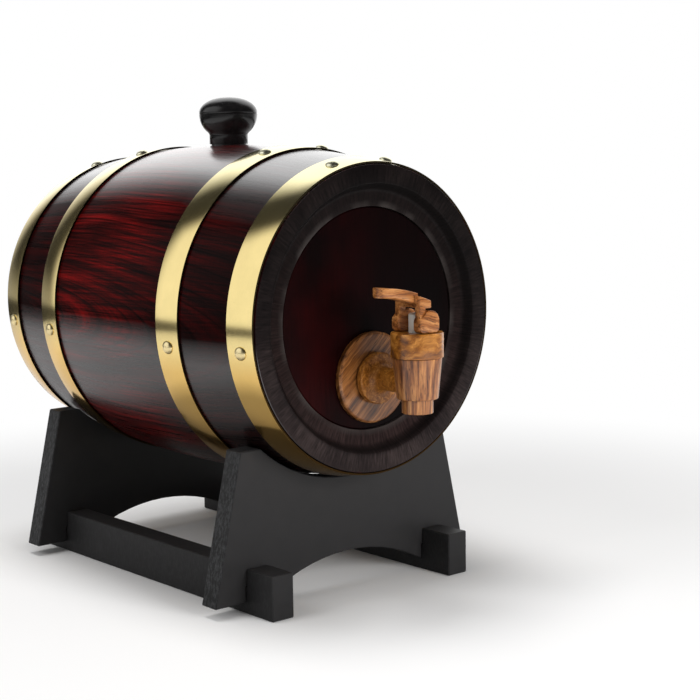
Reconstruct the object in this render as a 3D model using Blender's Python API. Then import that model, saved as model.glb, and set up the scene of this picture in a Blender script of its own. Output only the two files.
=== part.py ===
"""Oak cask liquor dispenser: a bulged cask on a cradle stand, with a bung and a lever tap.

Units are metres, +Z is up and the tap faces -Y. The origin lies on the floor, in the middle of the
whole object's footprint.
"""

import math

import bmesh
import bpy
from mathutils import Vector
from mathutils.geometry import intersect_point_line

# Clearances
FIT_GAP = 0.0003
PIN_GAP = 0.0001
CUT_OVERRUN = 0.002

# Cask
CASK_LENGTH = 0.2734
CASK_END_RADIUS = 0.0910
CASK_BULGE_RADIUS = 0.1033
CASK_AXIS_HEIGHT = 0.1685
STAVE_THICKNESS = 0.0185
STAVE_COUNT = 16
STAVE_COLUMNS = 3
STAVE_STEPS = 12
BORE_STEPS = 8

# Chime, the end of the staves outside the head: a flat end, a steep wall and a ledge
CHIME_FLAT = 0.0112
CHIME_WALL = 0.0039
CHIME_WALL_DEPTH = 0.0057
CHIME_LEDGE = 0.0097
CHIME_LEDGE_DROP = 0.0005
LIP_THICKNESS = 0.0032
CROZE_DEPTH = 0.0040

# Heads
HEAD_BELOW_LIP = 0.0006
HEAD_EDGE_BEVEL = 0.0020
HEAD_THICKNESS = 0.0140
HEAD_TONGUE = 0.0070
HEAD_BACK_CHAMFER = 0.0020

# Hoops
HOOP_THICKNESS = 0.0011
HOOP_WIDTH = 0.0195
HOOP_END_INSET = 0.0004
HOOP_BODY_INSET = 0.0603
RIVET_RADIUS = 0.0040
RIVET_HEIGHT = 0.0022
RIVET_ANGLES = (79.5, 105.0, 187.5, 270.0, 352.5)

# Bung
BUNG_OFFSET = 0.0050
BUNG_KNOB_RADIUS = 0.0188
BUNG_KNOB_HEIGHT = 0.0303
BUNG_WAIST_HEIGHT = 0.0195
BUNG_NECK_RADIUS = 0.0124
BUNG_NECK_HEIGHT = 0.0062
BUNG_GROOVE = 0.0003
BUNG_PLUG_TOP_RADIUS = 0.0113
BUNG_PLUG_TIP_RADIUS = 0.0103
BUNG_PLUG_LENGTH = 0.0240
BUNG_PLUG_CHAMFER = 0.0012
BUNG_SKIRT_SHARES = (
    (0.0, 1.0), (0.10, 0.89), (0.33, 0.79), (0.56, 0.66), (0.80, 0.45), (0.96, 0.22), (1.0, 0.0)
)
BUNG_DOME_SHARES = ((0.995, 0.18), (0.97, 0.38), (0.90, 0.59), (0.76, 0.79), (0.54, 0.92), (0.28, 0.985))

# Stand
PANEL_THICKNESS = 0.0140
PANEL_HOOP_GAP = 0.0096
PANEL_FOOT_HALF = 0.1008
PANEL_HORN_WIDTH = 0.0146
PANEL_TOP_DROP = 0.0725
PANEL_LIFT = 0.0066
PANEL_ARCH_HEIGHT = 0.0236
PANEL_EDGE = 0.0006
CRADLE_STEPS = 16
ARCH_STEPS = 14
RAIL_OVERHANG = 0.0245
RAIL_WIDTH = 0.0156
RAIL_HEIGHT = 0.0267
RAIL_OUTER_HALF = 0.0784
LAP_HEIGHT = 0.0165

# Tap, its place and its fixing through the head
TAP_REACH = 0.0406
ROSETTE_LIP_GAP = 0.0041
ROSETTE_RADIUS = 0.0273
ROSETTE_THICKNESS = 0.0040
ROSETTE_EDGE = 0.0012
GASKET_RADIUS = 0.0130
GASKET_THICKNESS = 0.0009
GASKET_EDGE = 0.0001
COLLAR_RADIUS = 0.0155
COLLAR_THICKNESS = 0.0036
COLLAR_EDGE = 0.0010
COLLAR_FLARE = 0.0022
NECK_RADIUS = 0.0069
SPIGOT_RADIUS = 0.0074
SPIGOT_END = 0.0020
INLET_BORE = 0.0040
NUT_ACROSS_CORNERS = 0.0270
NUT_THICKNESS = 0.0070
NUT_CHAMFER = 0.0008

# Tap cap and body, heights measured from the neck's axis
CAP_RADIUS = 0.01525
CAP_TOP_HEIGHT = 0.0301
CAP_HEIGHT = 0.0147
CAP_PLATE = 0.0038
CAP_WALL = 0.0022
CAP_EDGE = 0.0008
BODY_STEP = 0.00085
BODY_TAPER = 0.0023
BODY_WALL = 0.0021
BODY_FOOT_HEIGHT = -0.0084
BODY_FOOT_CHAMFER = 0.0010
SPOUT_RADIUS = 0.0091
SPOUT_WALL = 0.0028
SPOUT_LENGTH = 0.0084
SPOUT_TIP_CHAMFER = 0.0005
SEAT_HEIGHT = -0.0046

# Boot, spring and stem
BOOT_RIM_CLEARANCE = 0.0008
BOOT_RIM_THICKNESS = 0.0014
BOOT_CLEARANCE = 0.0016
BOOT_WALL = 0.0010
BOOT_FLOOR = 0.0030
BOOT_NOSE_CLEARANCE = 0.0012
BOOT_NOSE_DEPTH = 0.0016
STEM_RADIUS = 0.0049
STEM_SHANK_RADIUS = 0.0032
STEM_FOOT_CLEARANCE = 0.0007
STEM_FOOT_THICKNESS = 0.0016
STEM_ABOVE_PIN = 0.0040
STEM_TOP_EDGE = 0.0008
SPRING_WIRE_RADIUS = 0.0005
SPRING_END_PITCH = 0.0016
SPRING_CURLS = 7
SPRING_CURL_POINTS = 10

# Lever, measured from its pin
PIN_RADIUS = 0.0015
PIN_ABOVE_CAP = 0.0066
STEM_SIDE_GAP = 0.0011
FOOT_THICKNESS = 0.0062
FOOT_REAR = 0.0085
FOOT_FRONT = 0.0062
FOOT_CORNER = 0.0030
FOOT_SHOULDER = 0.0022
ARM_INNER_SET = 0.0003
ARM_OUTER_SET = 0.0016
ARM_REAR = 0.0073
ARM_BREADTH = 0.0044
YOKE_BOTTOM = 0.0074
YOKE_SLOT_RISE = 0.0005
YOKE_TOP = 0.0148
YOKE_SLOPE = 0.0031
YOKE_FRONT = 0.0015
PADDLE_TIP = 0.0317
PADDLE_ROOT = 0.0045
PADDLE_HALF_WIDTH = 0.0057
PADDLE_ROOT_TOP = 0.0160
PADDLE_RISE = 0.0043
PADDLE_BOW = 0.0038
PADDLE_TIP_THICKNESS = 0.0056
PADDLE_ROOT_THICKNESS = 0.0068
PADDLE_CHAMFER = 0.0016
PADDLE_ROUND_STEPS = 5
PADDLE_STEPS = 5
LEVER_EDGE = 0.0006

# Facets of the turned pieces
CASK_SIDES = STAVE_COUNT * STAVE_COLUMNS
BUNG_SIDES = 32
RIVET_SIDES = 10
TAP_SIDES = 32
SMALL_SIDES = 20
PIN_SIDES = 16

# Places on the cask that follow from the sizes above
CASK_HALF = CASK_LENGTH / 2
BORE_RADIUS = CASK_BULGE_RADIUS - STAVE_THICKNESS
WALL_RADIUS = CASK_END_RADIUS - CHIME_FLAT - CHIME_WALL
LIP_RADIUS = WALL_RADIUS - CHIME_LEDGE
CROZE_RADIUS = LIP_RADIUS + CROZE_DEPTH
LIP_FACE = CASK_HALF - CHIME_WALL_DEPTH - CHIME_LEDGE_DROP
CROZE_FACE = LIP_FACE - LIP_THICKNESS
HEAD_FACE = LIP_FACE - HEAD_BELOW_LIP

# Places on the stand
PANEL_OUTER = CASK_HALF - HOOP_END_INSET - HOOP_WIDTH - PANEL_HOOP_GAP
PANEL_INNER = PANEL_OUTER - PANEL_THICKNESS
PANEL_TOP_HEIGHT = CASK_AXIS_HEIGHT - PANEL_TOP_DROP

# Places on the tap
TAP_AXIS_Y = -HEAD_FACE - TAP_REACH
TAP_HEIGHT = CASK_AXIS_HEIGHT - LIP_RADIUS + ROSETTE_LIP_GAP + ROSETTE_RADIUS
CAP_PLATE_HEIGHT = CAP_TOP_HEIGHT - CAP_PLATE
BODY_SEAM_HEIGHT = CAP_TOP_HEIGHT - CAP_HEIGHT
BODY_RIM_HEIGHT = CAP_PLATE_HEIGHT - FIT_GAP - BOOT_RIM_THICKNESS - FIT_GAP
CAP_BORE = CAP_RADIUS - CAP_WALL
BODY_NECK_RADIUS = CAP_BORE - FIT_GAP
CHAMBER_RADIUS = BODY_NECK_RADIUS - BODY_WALL
SPOUT_BORE = SPOUT_RADIUS - SPOUT_WALL
BOOT_OUTER_RADIUS = CHAMBER_RADIUS - BOOT_CLEARANCE
BOOT_BORE = BOOT_OUTER_RADIUS - BOOT_WALL
BOOT_FLOOR_HEIGHT = SEAT_HEIGHT + FIT_GAP
STEM_FOOT_HEIGHT = BOOT_FLOOR_HEIGHT + BOOT_FLOOR + FIT_GAP
SPRING_RADIUS = (BOOT_BORE + STEM_RADIUS) / 2
PIN_HEIGHT = CAP_TOP_HEIGHT + FIT_GAP + PIN_ABOVE_CAP
FOOT_INNER = STEM_RADIUS + STEM_SIDE_GAP
FOOT_OUTER = FOOT_INNER + FOOT_THICKNESS

# The footprint runs from the front of the tap's cap to the cask's rear end
FRONT_REACH = CAP_RADIUS - TAP_AXIS_Y
MIDDLE_Y = (FRONT_REACH - CASK_HALF) / 2

# Directions and the smallest distances between points
QUARTER = math.pi / 2
FACING_FRONT = (QUARTER, 0, 0)
SMOOTH = math.radians(35)
MERGE = 1e-6


def clear_scene():
    for item in list(bpy.data.objects):
        bpy.data.objects.remove(item, do_unlink=True)


def make_material(name, colour, roughness, metallic=0.0):
    material = bpy.data.materials.new(name)
    material.use_nodes = True
    shader = material.node_tree.nodes["Principled BSDF"]
    shader.inputs["Base Color"].default_value = (*colour, 1.0)
    shader.inputs["Roughness"].default_value = roughness
    shader.inputs["Metallic"].default_value = metallic
    return material


def add_empty(name, location):
    empty = bpy.data.objects.new(name, None)
    empty.location = location
    bpy.context.collection.objects.link(empty)
    return empty


def add_object(name, bm, material, parent, location=(0, 0, 0), rotation=(0, 0, 0), smooth_angle=None):
    bmesh.ops.recalc_face_normals(bm, faces=bm.faces)
    mesh = bpy.data.meshes.new(name)
    bm.to_mesh(mesh)
    bm.free()
    if smooth_angle is not None:
        mesh.shade_smooth()
        mesh.set_sharp_from_angle(angle=smooth_angle)
    item = bpy.data.objects.new(name, mesh)
    if material is not None:
        mesh.materials.append(material)
    item.parent = parent
    item.location = location
    item.rotation_euler = rotation
    bpy.context.collection.objects.link(item)
    return item


def as_tool(item):
    """Mark an object as a tool for a Boolean, not a piece of its own."""
    item.hide_render = True
    item.display_type = "WIRE"
    return item


def boolean(target, tool, operation):
    modifier = target.modifiers.new(operation.title(), "BOOLEAN")
    modifier.operation = operation
    modifier.solver = "EXACT"
    modifier.object = as_tool(tool)


def add_bevel(item, width, segments=1):
    modifier = item.modifiers.new("Edge", "BEVEL")
    modifier.width = width
    modifier.segments = segments
    modifier.limit_method = "ANGLE"
    modifier.angle_limit = SMOOTH


def turned_mesh(profile, sides, closed=False):
    """Turn a profile of (radius, height) points about Z. A closed profile makes a ring."""
    bm = bmesh.new()
    verts = [bm.verts.new((radius, 0, height)) for radius, height in profile]
    edges = [bm.edges.new(pair) for pair in zip(verts, verts[1:])]
    if closed:
        edges.append(bm.edges.new((verts[-1], verts[0])))
    bmesh.ops.spin(
        bm, geom=verts + edges, cent=(0, 0, 0), axis=(0, 0, 1), angle=math.tau, steps=sides, use_merge=True
    )
    bmesh.ops.remove_doubles(bm, verts=bm.verts, dist=MERGE)
    return bm


def sector_mesh(profile, start, span, columns):
    """Turn a closed profile through part of a circle about Z, with flat faces at both ends."""
    bm = bmesh.new()
    spot = [(radius * math.cos(start), radius * math.sin(start), height) for radius, height in profile]
    face = bm.faces.new([bm.verts.new(point) for point in spot])
    geometry = [face] + list(face.edges) + list(face.verts)
    bmesh.ops.spin(bm, geom=geometry, cent=(0, 0, 0), axis=(0, 0, 1), angle=span, steps=columns)
    bmesh.ops.remove_doubles(bm, verts=bm.verts, dist=MERGE)
    return bm


def prism_mesh(outline, low, high):
    """Stand an outline of (x, z) points between two values of y."""
    bm = bmesh.new()
    face = bm.faces.new([bm.verts.new((x, low, z)) for x, z in outline])
    grown = bmesh.ops.extrude_face_region(bm, geom=[face])["geom"]
    moved = [part for part in grown if isinstance(part, bmesh.types.BMVert)]
    bmesh.ops.translate(bm, verts=moved, vec=(0, high - low, 0))
    return bm


def box_mesh(low, high):
    return prism_mesh(
        [(low[0], low[2]), (high[0], low[2]), (high[0], high[2]), (low[0], high[2])], low[1], high[1]
    )


def arc(centre, radius, start, end, steps):
    """Points on an arc from one angle to another, both included."""
    angles = [start + (end - start) * step / steps for step in range(steps + 1)]
    return [(centre[0] + radius * math.cos(a), centre[1] + radius * math.sin(a)) for a in angles]


def cask_radius(y):
    """The staves' outer radius at a distance from the cask's middle."""
    return CASK_BULGE_RADIUS - (CASK_BULGE_RADIUS - CASK_END_RADIUS) * (y / CASK_HALF) ** 2


def chime_profile():
    """One end of a stave, from its outer corner inward past the groove for the head."""
    croze_back = CROZE_FACE - FIT_GAP - HEAD_TONGUE - FIT_GAP
    return [
        (CASK_END_RADIUS - CHIME_FLAT, CASK_HALF),
        (WALL_RADIUS, CASK_HALF - CHIME_WALL_DEPTH),
        (LIP_RADIUS, LIP_FACE),
        (LIP_RADIUS, CROZE_FACE),
        (CROZE_RADIUS, CROZE_FACE),
        (CROZE_RADIUS, croze_back),
        (LIP_RADIUS, croze_back),
    ]


def stave_profile():
    """The closed outline of a stave's section along the cask, as (radius, forward) points."""
    steps = [2 * step / STAVE_STEPS - 1 for step in range(STAVE_STEPS + 1)]
    outer = [(cask_radius(CASK_HALF * step), CASK_HALF * step) for step in steps]
    front = chime_profile()
    rear = [(radius, -forward) for radius, forward in reversed(front)]
    reach = front[-1][1]
    bore = []
    for step in range(1, BORE_STEPS):
        share = 1 - 2 * step / BORE_STEPS
        bore.append((BORE_RADIUS - (BORE_RADIUS - LIP_RADIUS) * share ** 2, reach * share))
    return outer + front + bore + rear


def build_staves(cask, material):
    pitch = math.tau / STAVE_COUNT
    gap = FIT_GAP / CASK_BULGE_RADIUS
    profile = stave_profile()
    staves = []
    for index in range(STAVE_COUNT):
        start = QUARTER + pitch * index - (pitch - gap) / 2
        bm = sector_mesh(profile, start, pitch - gap, STAVE_COLUMNS)
        name = f"stave_{index + 1:02d}"
        staves.append(add_object(name, bm, material, cask, (0, 0, 0), FACING_FRONT, SMOOTH))
    return staves


def cut_bung_hole(stave, cask):
    """A tapered hole through the bung stave, a clearance wider than the plug."""
    slope = (BUNG_PLUG_TOP_RADIUS - BUNG_PLUG_TIP_RADIUS) / BUNG_PLUG_LENGTH
    low = -STAVE_THICKNESS - CUT_OVERRUN
    wide = BUNG_PLUG_TOP_RADIUS + FIT_GAP
    profile = [
        (0, low),
        (wide + slope * low, low),
        (wide + slope * CUT_OVERRUN, CUT_OVERRUN),
        (0, CUT_OVERRUN),
    ]
    cutter = add_object("bung_hole_cutter", turned_mesh(profile, SMALL_SIDES), None, cask, bung_place())
    boolean(stave, cutter, "DIFFERENCE")


def bung_place():
    return (0, BUNG_OFFSET, cask_radius(BUNG_OFFSET))


def build_bung(cask, material):
    """The turned bung: a taper plug, a neck, and a knob with a groove at its widest place."""
    flare = BUNG_KNOB_RADIUS - BUNG_NECK_RADIUS
    waist = BUNG_WAIST_HEIGHT
    profile = [
        (0, -BUNG_PLUG_LENGTH),
        (BUNG_PLUG_TIP_RADIUS - BUNG_PLUG_CHAMFER, -BUNG_PLUG_LENGTH),
        (BUNG_PLUG_TIP_RADIUS, -BUNG_PLUG_LENGTH + BUNG_PLUG_CHAMFER),
        (BUNG_PLUG_TOP_RADIUS, FIT_GAP),
        (BUNG_NECK_RADIUS, FIT_GAP),
    ]
    for out, down in BUNG_SKIRT_SHARES:
        profile.append((BUNG_NECK_RADIUS + flare * out, waist - (waist - BUNG_NECK_HEIGHT) * down))
    profile += [
        (BUNG_KNOB_RADIUS - BUNG_GROOVE, waist + BUNG_GROOVE),
        (BUNG_KNOB_RADIUS, waist + BUNG_GROOVE + BUNG_GROOVE),
    ]
    for out, up in BUNG_DOME_SHARES:
        profile.append((BUNG_KNOB_RADIUS * out, waist + (BUNG_KNOB_HEIGHT - waist) * up))
    profile.append((0, BUNG_KNOB_HEIGHT))
    bm = turned_mesh(profile, BUNG_SIDES)
    return add_object("bung", bm, material, cask, bung_place(), (0, 0, 0), SMOOTH)


def build_head(name, facing, cask, material):
    """A round head, its front edge bevelled, its tongue in the groove and its back edge chamfered."""
    edge = LIP_RADIUS - FIT_GAP
    tongue = CROZE_RADIUS - FIT_GAP
    tongue_face = CROZE_FACE - FIT_GAP
    back = HEAD_FACE - HEAD_THICKNESS
    profile = [
        (0, back),
        (edge - HEAD_BACK_CHAMFER, back),
        (edge, back + HEAD_BACK_CHAMFER),
        (edge, tongue_face - HEAD_TONGUE),
        (tongue, tongue_face - HEAD_TONGUE),
        (tongue, tongue_face),
        (edge, tongue_face),
        (edge, HEAD_FACE - HEAD_EDGE_BEVEL),
        (edge - HEAD_EDGE_BEVEL, HEAD_FACE),
        (0, HEAD_FACE),
    ]
    profile = [(radius, facing * forward) for radius, forward in profile]
    bm = turned_mesh(profile, CASK_SIDES)
    return add_object(name, bm, material, cask, (0, 0, 0), FACING_FRONT, SMOOTH)


def rivet_mesh():
    """A domed rivet head, its foot sunk through the hoop's thickness."""
    profile = [(0, -HOOP_THICKNESS / 2), (RIVET_RADIUS, -HOOP_THICKNESS / 2)]
    profile += [
        (RIVET_RADIUS * math.cos(a), RIVET_HEIGHT * math.sin(a)) for a in (0, QUARTER / 3, QUARTER * 2 / 3)
    ]
    profile.append((0, RIVET_HEIGHT))
    return turned_mesh(profile, RIVET_SIDES)


def build_hoop(name, near, far, cask, material):
    """A conical band between two distances from the cask's middle, with its rivet heads."""
    inner = [(cask_radius(forward) + FIT_GAP, forward) for forward in (near, far)]
    outer = [(radius + HOOP_THICKNESS, forward) for radius, forward in reversed(inner)]
    turn = math.tau / CASK_SIDES / 2
    hoop = add_object(
        name, turned_mesh(inner + outer, CASK_SIDES, True), material, cask, (0, 0, 0), FACING_FRONT, SMOOTH
    )
    hoop.rotation_euler = (QUARTER, turn, 0)
    centre = (near + far) / 2
    radius = cask_radius(centre) + FIT_GAP + HOOP_THICKNESS
    lean = math.atan((inner[0][0] - inner[1][0]) / (far - near))
    for index, degrees in enumerate(RIVET_ANGLES):
        angle = math.radians(degrees)
        spot = (radius * math.cos(angle), -centre, radius * math.sin(angle))
        turn_out = (lean, QUARTER - angle, 0)
        tool = add_object(f"{name}_rivet_{index + 1}", rivet_mesh(), material, cask, spot, turn_out, SMOOTH)
        boolean(hoop, tool, "UNION")
    return hoop


def panel_outline():
    """Half of the outline is worked out and mirrored: foot, slanted end, cradle, arch and lap notch."""
    cradle = cask_radius(PANEL_INNER) + FIT_GAP
    horn_x = math.sqrt(cradle ** 2 - PANEL_TOP_DROP ** 2)
    horn = math.atan2(-PANEL_TOP_DROP, horn_x)
    notch_out = RAIL_OUTER_HALF + FIT_GAP
    notch_in = RAIL_OUTER_HALF - RAIL_WIDTH - FIT_GAP
    rise = PANEL_ARCH_HEIGHT - PANEL_LIFT
    arch_radius = (notch_in ** 2 + rise ** 2) / (2 * rise)
    arch_centre = (0, PANEL_ARCH_HEIGHT - arch_radius)
    reach = math.asin(notch_in / arch_radius)
    right = [
        (notch_in, LAP_HEIGHT + FIT_GAP / 2),
        (notch_out, LAP_HEIGHT + FIT_GAP / 2),
        (notch_out, PANEL_LIFT),
        (PANEL_FOOT_HALF, PANEL_LIFT),
        (horn_x + PANEL_HORN_WIDTH, PANEL_TOP_HEIGHT),
    ]
    left = [(-x, z) for x, z in reversed(right)]
    top = arc((0, CASK_AXIS_HEIGHT), cradle, horn, -math.pi - horn, CRADLE_STEPS)
    below = arc(arch_centre, arch_radius, QUARTER + reach, QUARTER - reach, ARCH_STEPS)
    return right + top + left + below


def build_panel(name, near, stand, material):
    bm = prism_mesh(panel_outline(), near, near + PANEL_THICKNESS)
    panel = add_object(name, bm, material, stand)
    add_bevel(panel, PANEL_EDGE)
    return panel


def rail_outline():
    """A rail seen from its side, as (y, z) points, notched from above for the two panels."""
    half = PANEL_OUTER + RAIL_OVERHANG
    notch_out = PANEL_OUTER + FIT_GAP
    notch_in = PANEL_INNER - FIT_GAP
    floor = LAP_HEIGHT - FIT_GAP / 2
    front = [
        (half, 0),
        (half, RAIL_HEIGHT),
        (notch_out, RAIL_HEIGHT),
        (notch_out, floor),
        (notch_in, floor),
        (notch_in, RAIL_HEIGHT),
    ]
    return front + [(-y, z) for y, z in reversed(front)]


def build_rail(name, side, stand, material):
    outer = side * RAIL_OUTER_HALF
    inner = side * (RAIL_OUTER_HALF - RAIL_WIDTH)
    bm = prism_mesh(rail_outline(), -max(outer, inner), -min(outer, inner))
    rail = add_object(name, bm, material, stand, (0, 0, 0), (0, 0, QUARTER))
    add_bevel(rail, PANEL_EDGE)
    return rail


def tap_frame(cask):
    """An empty on the tap's upright axis, at the height of its neck."""
    empty = add_empty("tap_frame", (0, TAP_AXIS_Y, TAP_HEIGHT - CASK_AXIS_HEIGHT))
    empty.parent = cask
    return empty


def fixing_distances():
    """Distances behind the tap's axis of the pieces that its spigot passes through."""
    rosette_back = TAP_REACH - FIT_GAP
    rosette_face = rosette_back - ROSETTE_THICKNESS
    outer_gasket_face = rosette_face - FIT_GAP - GASKET_THICKNESS
    collar_back = outer_gasket_face - FIT_GAP
    inner_gasket_face = TAP_REACH + HEAD_THICKNESS + FIT_GAP
    nut_face = inner_gasket_face + GASKET_THICKNESS + FIT_GAP
    spigot_end = nut_face + NUT_THICKNESS + SPIGOT_END
    return collar_back, outer_gasket_face, rosette_face, rosette_back, inner_gasket_face, nut_face, spigot_end


def ring_on_spigot(name, near, thickness, radius, edge, tap, material):
    """A flat ring on the spigot, its front outer edge eased."""
    hole = SPIGOT_RADIUS + FIT_GAP
    profile = [
        (hole, -near),
        (radius - edge, -near),
        (radius, -near - edge),
        (radius, -near - thickness),
        (hole, -near - thickness),
    ]
    bm = turned_mesh(profile, TAP_SIDES, True)
    return add_object(name, bm, material, tap, (0, 0, 0), FACING_FRONT, SMOOTH)


def build_nut(near, tap, material):
    """The hexagon nut on the spigot inside the cask."""
    half = NUT_ACROSS_CORNERS / 2
    outline = arc((0, 0), half, 0, math.tau, 6)[:-1]
    nut = add_object("tap_nut", prism_mesh(outline, near, near + NUT_THICKNESS), material, tap)
    add_bevel(nut, NUT_CHAMFER)
    hole = SPIGOT_RADIUS + FIT_GAP
    low = -near - NUT_THICKNESS - CUT_OVERRUN
    high = -near + CUT_OVERRUN
    profile = [(0, low), (hole, low), (hole, high), (0, high)]
    cutter = add_object(
        "nut_hole_cutter", turned_mesh(profile, TAP_SIDES), None, tap, (0, 0, 0), FACING_FRONT
    )
    boolean(nut, cutter, "DIFFERENCE")
    return nut


def body_profile():
    """The tap body's turned outside, from the spout's tip up to the rim under the cap."""
    tip = BODY_FOOT_HEIGHT - SPOUT_LENGTH
    seam = CAP_RADIUS - BODY_STEP
    foot = seam - BODY_TAPER
    return [
        (0, tip),
        (SPOUT_RADIUS - SPOUT_TIP_CHAMFER, tip),
        (SPOUT_RADIUS, tip + SPOUT_TIP_CHAMFER),
        (SPOUT_RADIUS, BODY_FOOT_HEIGHT),
        (foot - BODY_FOOT_CHAMFER, BODY_FOOT_HEIGHT),
        (foot, BODY_FOOT_HEIGHT + BODY_FOOT_CHAMFER),
        (seam, BODY_SEAM_HEIGHT),
        (BODY_NECK_RADIUS, BODY_SEAM_HEIGHT),
        (BODY_NECK_RADIUS, BODY_RIM_HEIGHT),
        (0, BODY_RIM_HEIGHT),
    ]


def neck_profile(collar_back, spigot_end):
    """Neck, flared collar and spigot, as (radius, forward) points from the spigot's end."""
    collar_face = collar_back - COLLAR_THICKNESS
    return [
        (0, -spigot_end),
        (SPIGOT_RADIUS, -spigot_end),
        (SPIGOT_RADIUS, -collar_back),
        (COLLAR_RADIUS, -collar_back),
        (COLLAR_RADIUS, -collar_face - COLLAR_EDGE),
        (COLLAR_RADIUS - COLLAR_EDGE, -collar_face),
        (NECK_RADIUS + COLLAR_FLARE + COLLAR_FLARE, -collar_face),
        (NECK_RADIUS + COLLAR_FLARE / 2, -collar_face + COLLAR_FLARE / 2),
        (NECK_RADIUS, -collar_face + COLLAR_FLARE + COLLAR_FLARE),
        (NECK_RADIUS, -CHAMBER_RADIUS / 2),
        (0, -CHAMBER_RADIUS / 2),
    ]


def chamber_profile():
    """The hollow that runs from the spout's mouth up past the valve seat and out at the rim."""
    low = BODY_FOOT_HEIGHT - SPOUT_LENGTH - CUT_OVERRUN
    high = BODY_RIM_HEIGHT + CUT_OVERRUN
    return [
        (0, low),
        (SPOUT_BORE, low),
        (SPOUT_BORE, SEAT_HEIGHT),
        (CHAMBER_RADIUS, SEAT_HEIGHT),
        (CHAMBER_RADIUS, high),
        (0, high),
    ]


def build_tap_body(tap, material):
    collar_back, *_, spigot_end = fixing_distances()
    body = add_object("tap_body", turned_mesh(body_profile(), TAP_SIDES), material, tap, smooth_angle=SMOOTH)
    neck = add_object(
        "neck_tool",
        turned_mesh(neck_profile(collar_back, spigot_end), TAP_SIDES),
        material, tap, (0, 0, 0), FACING_FRONT, SMOOTH,
    )
    boolean(body, neck, "UNION")
    chamber = add_object("chamber_cutter", turned_mesh(chamber_profile(), TAP_SIDES), None, tap)
    boolean(body, chamber, "DIFFERENCE")
    low = -spigot_end - CUT_OVERRUN
    inlet_profile = [(0, low), (INLET_BORE, low), (INLET_BORE, 0), (0, 0)]
    inlet = add_object(
        "inlet_cutter", turned_mesh(inlet_profile, SMALL_SIDES), None, tap, (0, 0, 0), FACING_FRONT
    )
    boolean(body, inlet, "DIFFERENCE")
    return body


def build_cap(tap, material):
    """The cap: a skirt around the body's rim and a plate with the stem's hole."""
    low = BODY_SEAM_HEIGHT + FIT_GAP
    hole = STEM_RADIUS + FIT_GAP
    profile = [
        (CAP_BORE, low),
        (CAP_RADIUS, low),
        (CAP_RADIUS, CAP_TOP_HEIGHT - CAP_EDGE),
        (CAP_RADIUS - CAP_EDGE, CAP_TOP_HEIGHT),
        (hole, CAP_TOP_HEIGHT),
        (hole, CAP_PLATE_HEIGHT),
        (CAP_BORE, CAP_PLATE_HEIGHT),
    ]
    bm = turned_mesh(profile, TAP_SIDES, True)
    return add_object("tap_cap", bm, material, tap, smooth_angle=SMOOTH)


def build_boot(tap, material):
    """The rubber boot: a rim under the cap, a thin wall, and a thick floor with a nose in the seat."""
    rim = CAP_BORE - BOOT_RIM_CLEARANCE
    rim_low = BODY_RIM_HEIGHT + FIT_GAP
    rim_high = rim_low + BOOT_RIM_THICKNESS
    nose = SPOUT_BORE - BOOT_NOSE_CLEARANCE
    profile = [
        (0, BOOT_FLOOR_HEIGHT - BOOT_NOSE_DEPTH),
        (nose - BOOT_NOSE_DEPTH, BOOT_FLOOR_HEIGHT - BOOT_NOSE_DEPTH),
        (nose, BOOT_FLOOR_HEIGHT),
        (BOOT_OUTER_RADIUS, BOOT_FLOOR_HEIGHT),
        (BOOT_OUTER_RADIUS, rim_low),
        (rim, rim_low),
        (rim, rim_high),
        (BOOT_BORE, rim_high),
        (BOOT_BORE, BOOT_FLOOR_HEIGHT + BOOT_FLOOR),
        (0, BOOT_FLOOR_HEIGHT + BOOT_FLOOR),
    ]
    return add_object("tap_boot", turned_mesh(profile, SMALL_SIDES), material, tap, smooth_angle=SMOOTH)


def build_stem(tap, material):
    """The stem, from its foot in the boot up through the cap to the lever's pin."""
    foot = BOOT_BORE - STEM_FOOT_CLEARANCE
    foot_top = STEM_FOOT_HEIGHT + STEM_FOOT_THICKNESS
    top = PIN_HEIGHT + STEM_ABOVE_PIN
    profile = [
        (0, STEM_FOOT_HEIGHT),
        (foot, STEM_FOOT_HEIGHT),
        (foot, foot_top),
        (STEM_SHANK_RADIUS, foot_top),
        (STEM_SHANK_RADIUS, CAP_PLATE_HEIGHT),
        (STEM_RADIUS, CAP_PLATE_HEIGHT),
        (STEM_RADIUS, top - STEM_TOP_EDGE),
        (STEM_RADIUS - STEM_TOP_EDGE, top),
        (0, top),
    ]
    stem = add_object("tap_stem", turned_mesh(profile, SMALL_SIDES), material, tap, smooth_angle=SMOOTH)
    cross_hole(stem, "stem_hole_cutter", STEM_RADIUS + CUT_OVERRUN, tap, (0, 0, PIN_HEIGHT))
    return stem


def cross_hole(target, name, reach, parent, place):
    """A hole along Y for the lever's pin."""
    radius = PIN_RADIUS + PIN_GAP
    profile = [(0, -reach), (radius, -reach), (radius, reach), (0, reach)]
    cutter = add_object(name, turned_mesh(profile, PIN_SIDES), None, parent, place, FACING_FRONT)
    boolean(target, cutter, "DIFFERENCE")


def spring_rise(turn, closed):
    """The share of the spring's height reached after so many turns, less in the first and last one."""
    if turn <= 1:
        return closed * turn
    if turn >= SPRING_CURLS - 1:
        return 1 - closed * (SPRING_CURLS - turn)
    return closed + (1 - closed - closed) * (turn - 1) / (SPRING_CURLS - 2)


def spring_points():
    """Points along the wire's middle, between the stem's foot and the cap's plate."""
    low = STEM_FOOT_HEIGHT + STEM_FOOT_THICKNESS + FIT_GAP + SPRING_WIRE_RADIUS
    high = CAP_PLATE_HEIGHT - FIT_GAP - SPRING_WIRE_RADIUS
    closed = SPRING_END_PITCH / (high - low)
    points = []
    for step in range(SPRING_CURLS * SPRING_CURL_POINTS + 1):
        turn = step / SPRING_CURL_POINTS
        angle = math.tau * turn
        rise = (high - low) * spring_rise(turn, closed)
        points.append(Vector((SPRING_RADIUS * math.cos(angle), SPRING_RADIUS * math.sin(angle), low + rise)))
    return points


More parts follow.
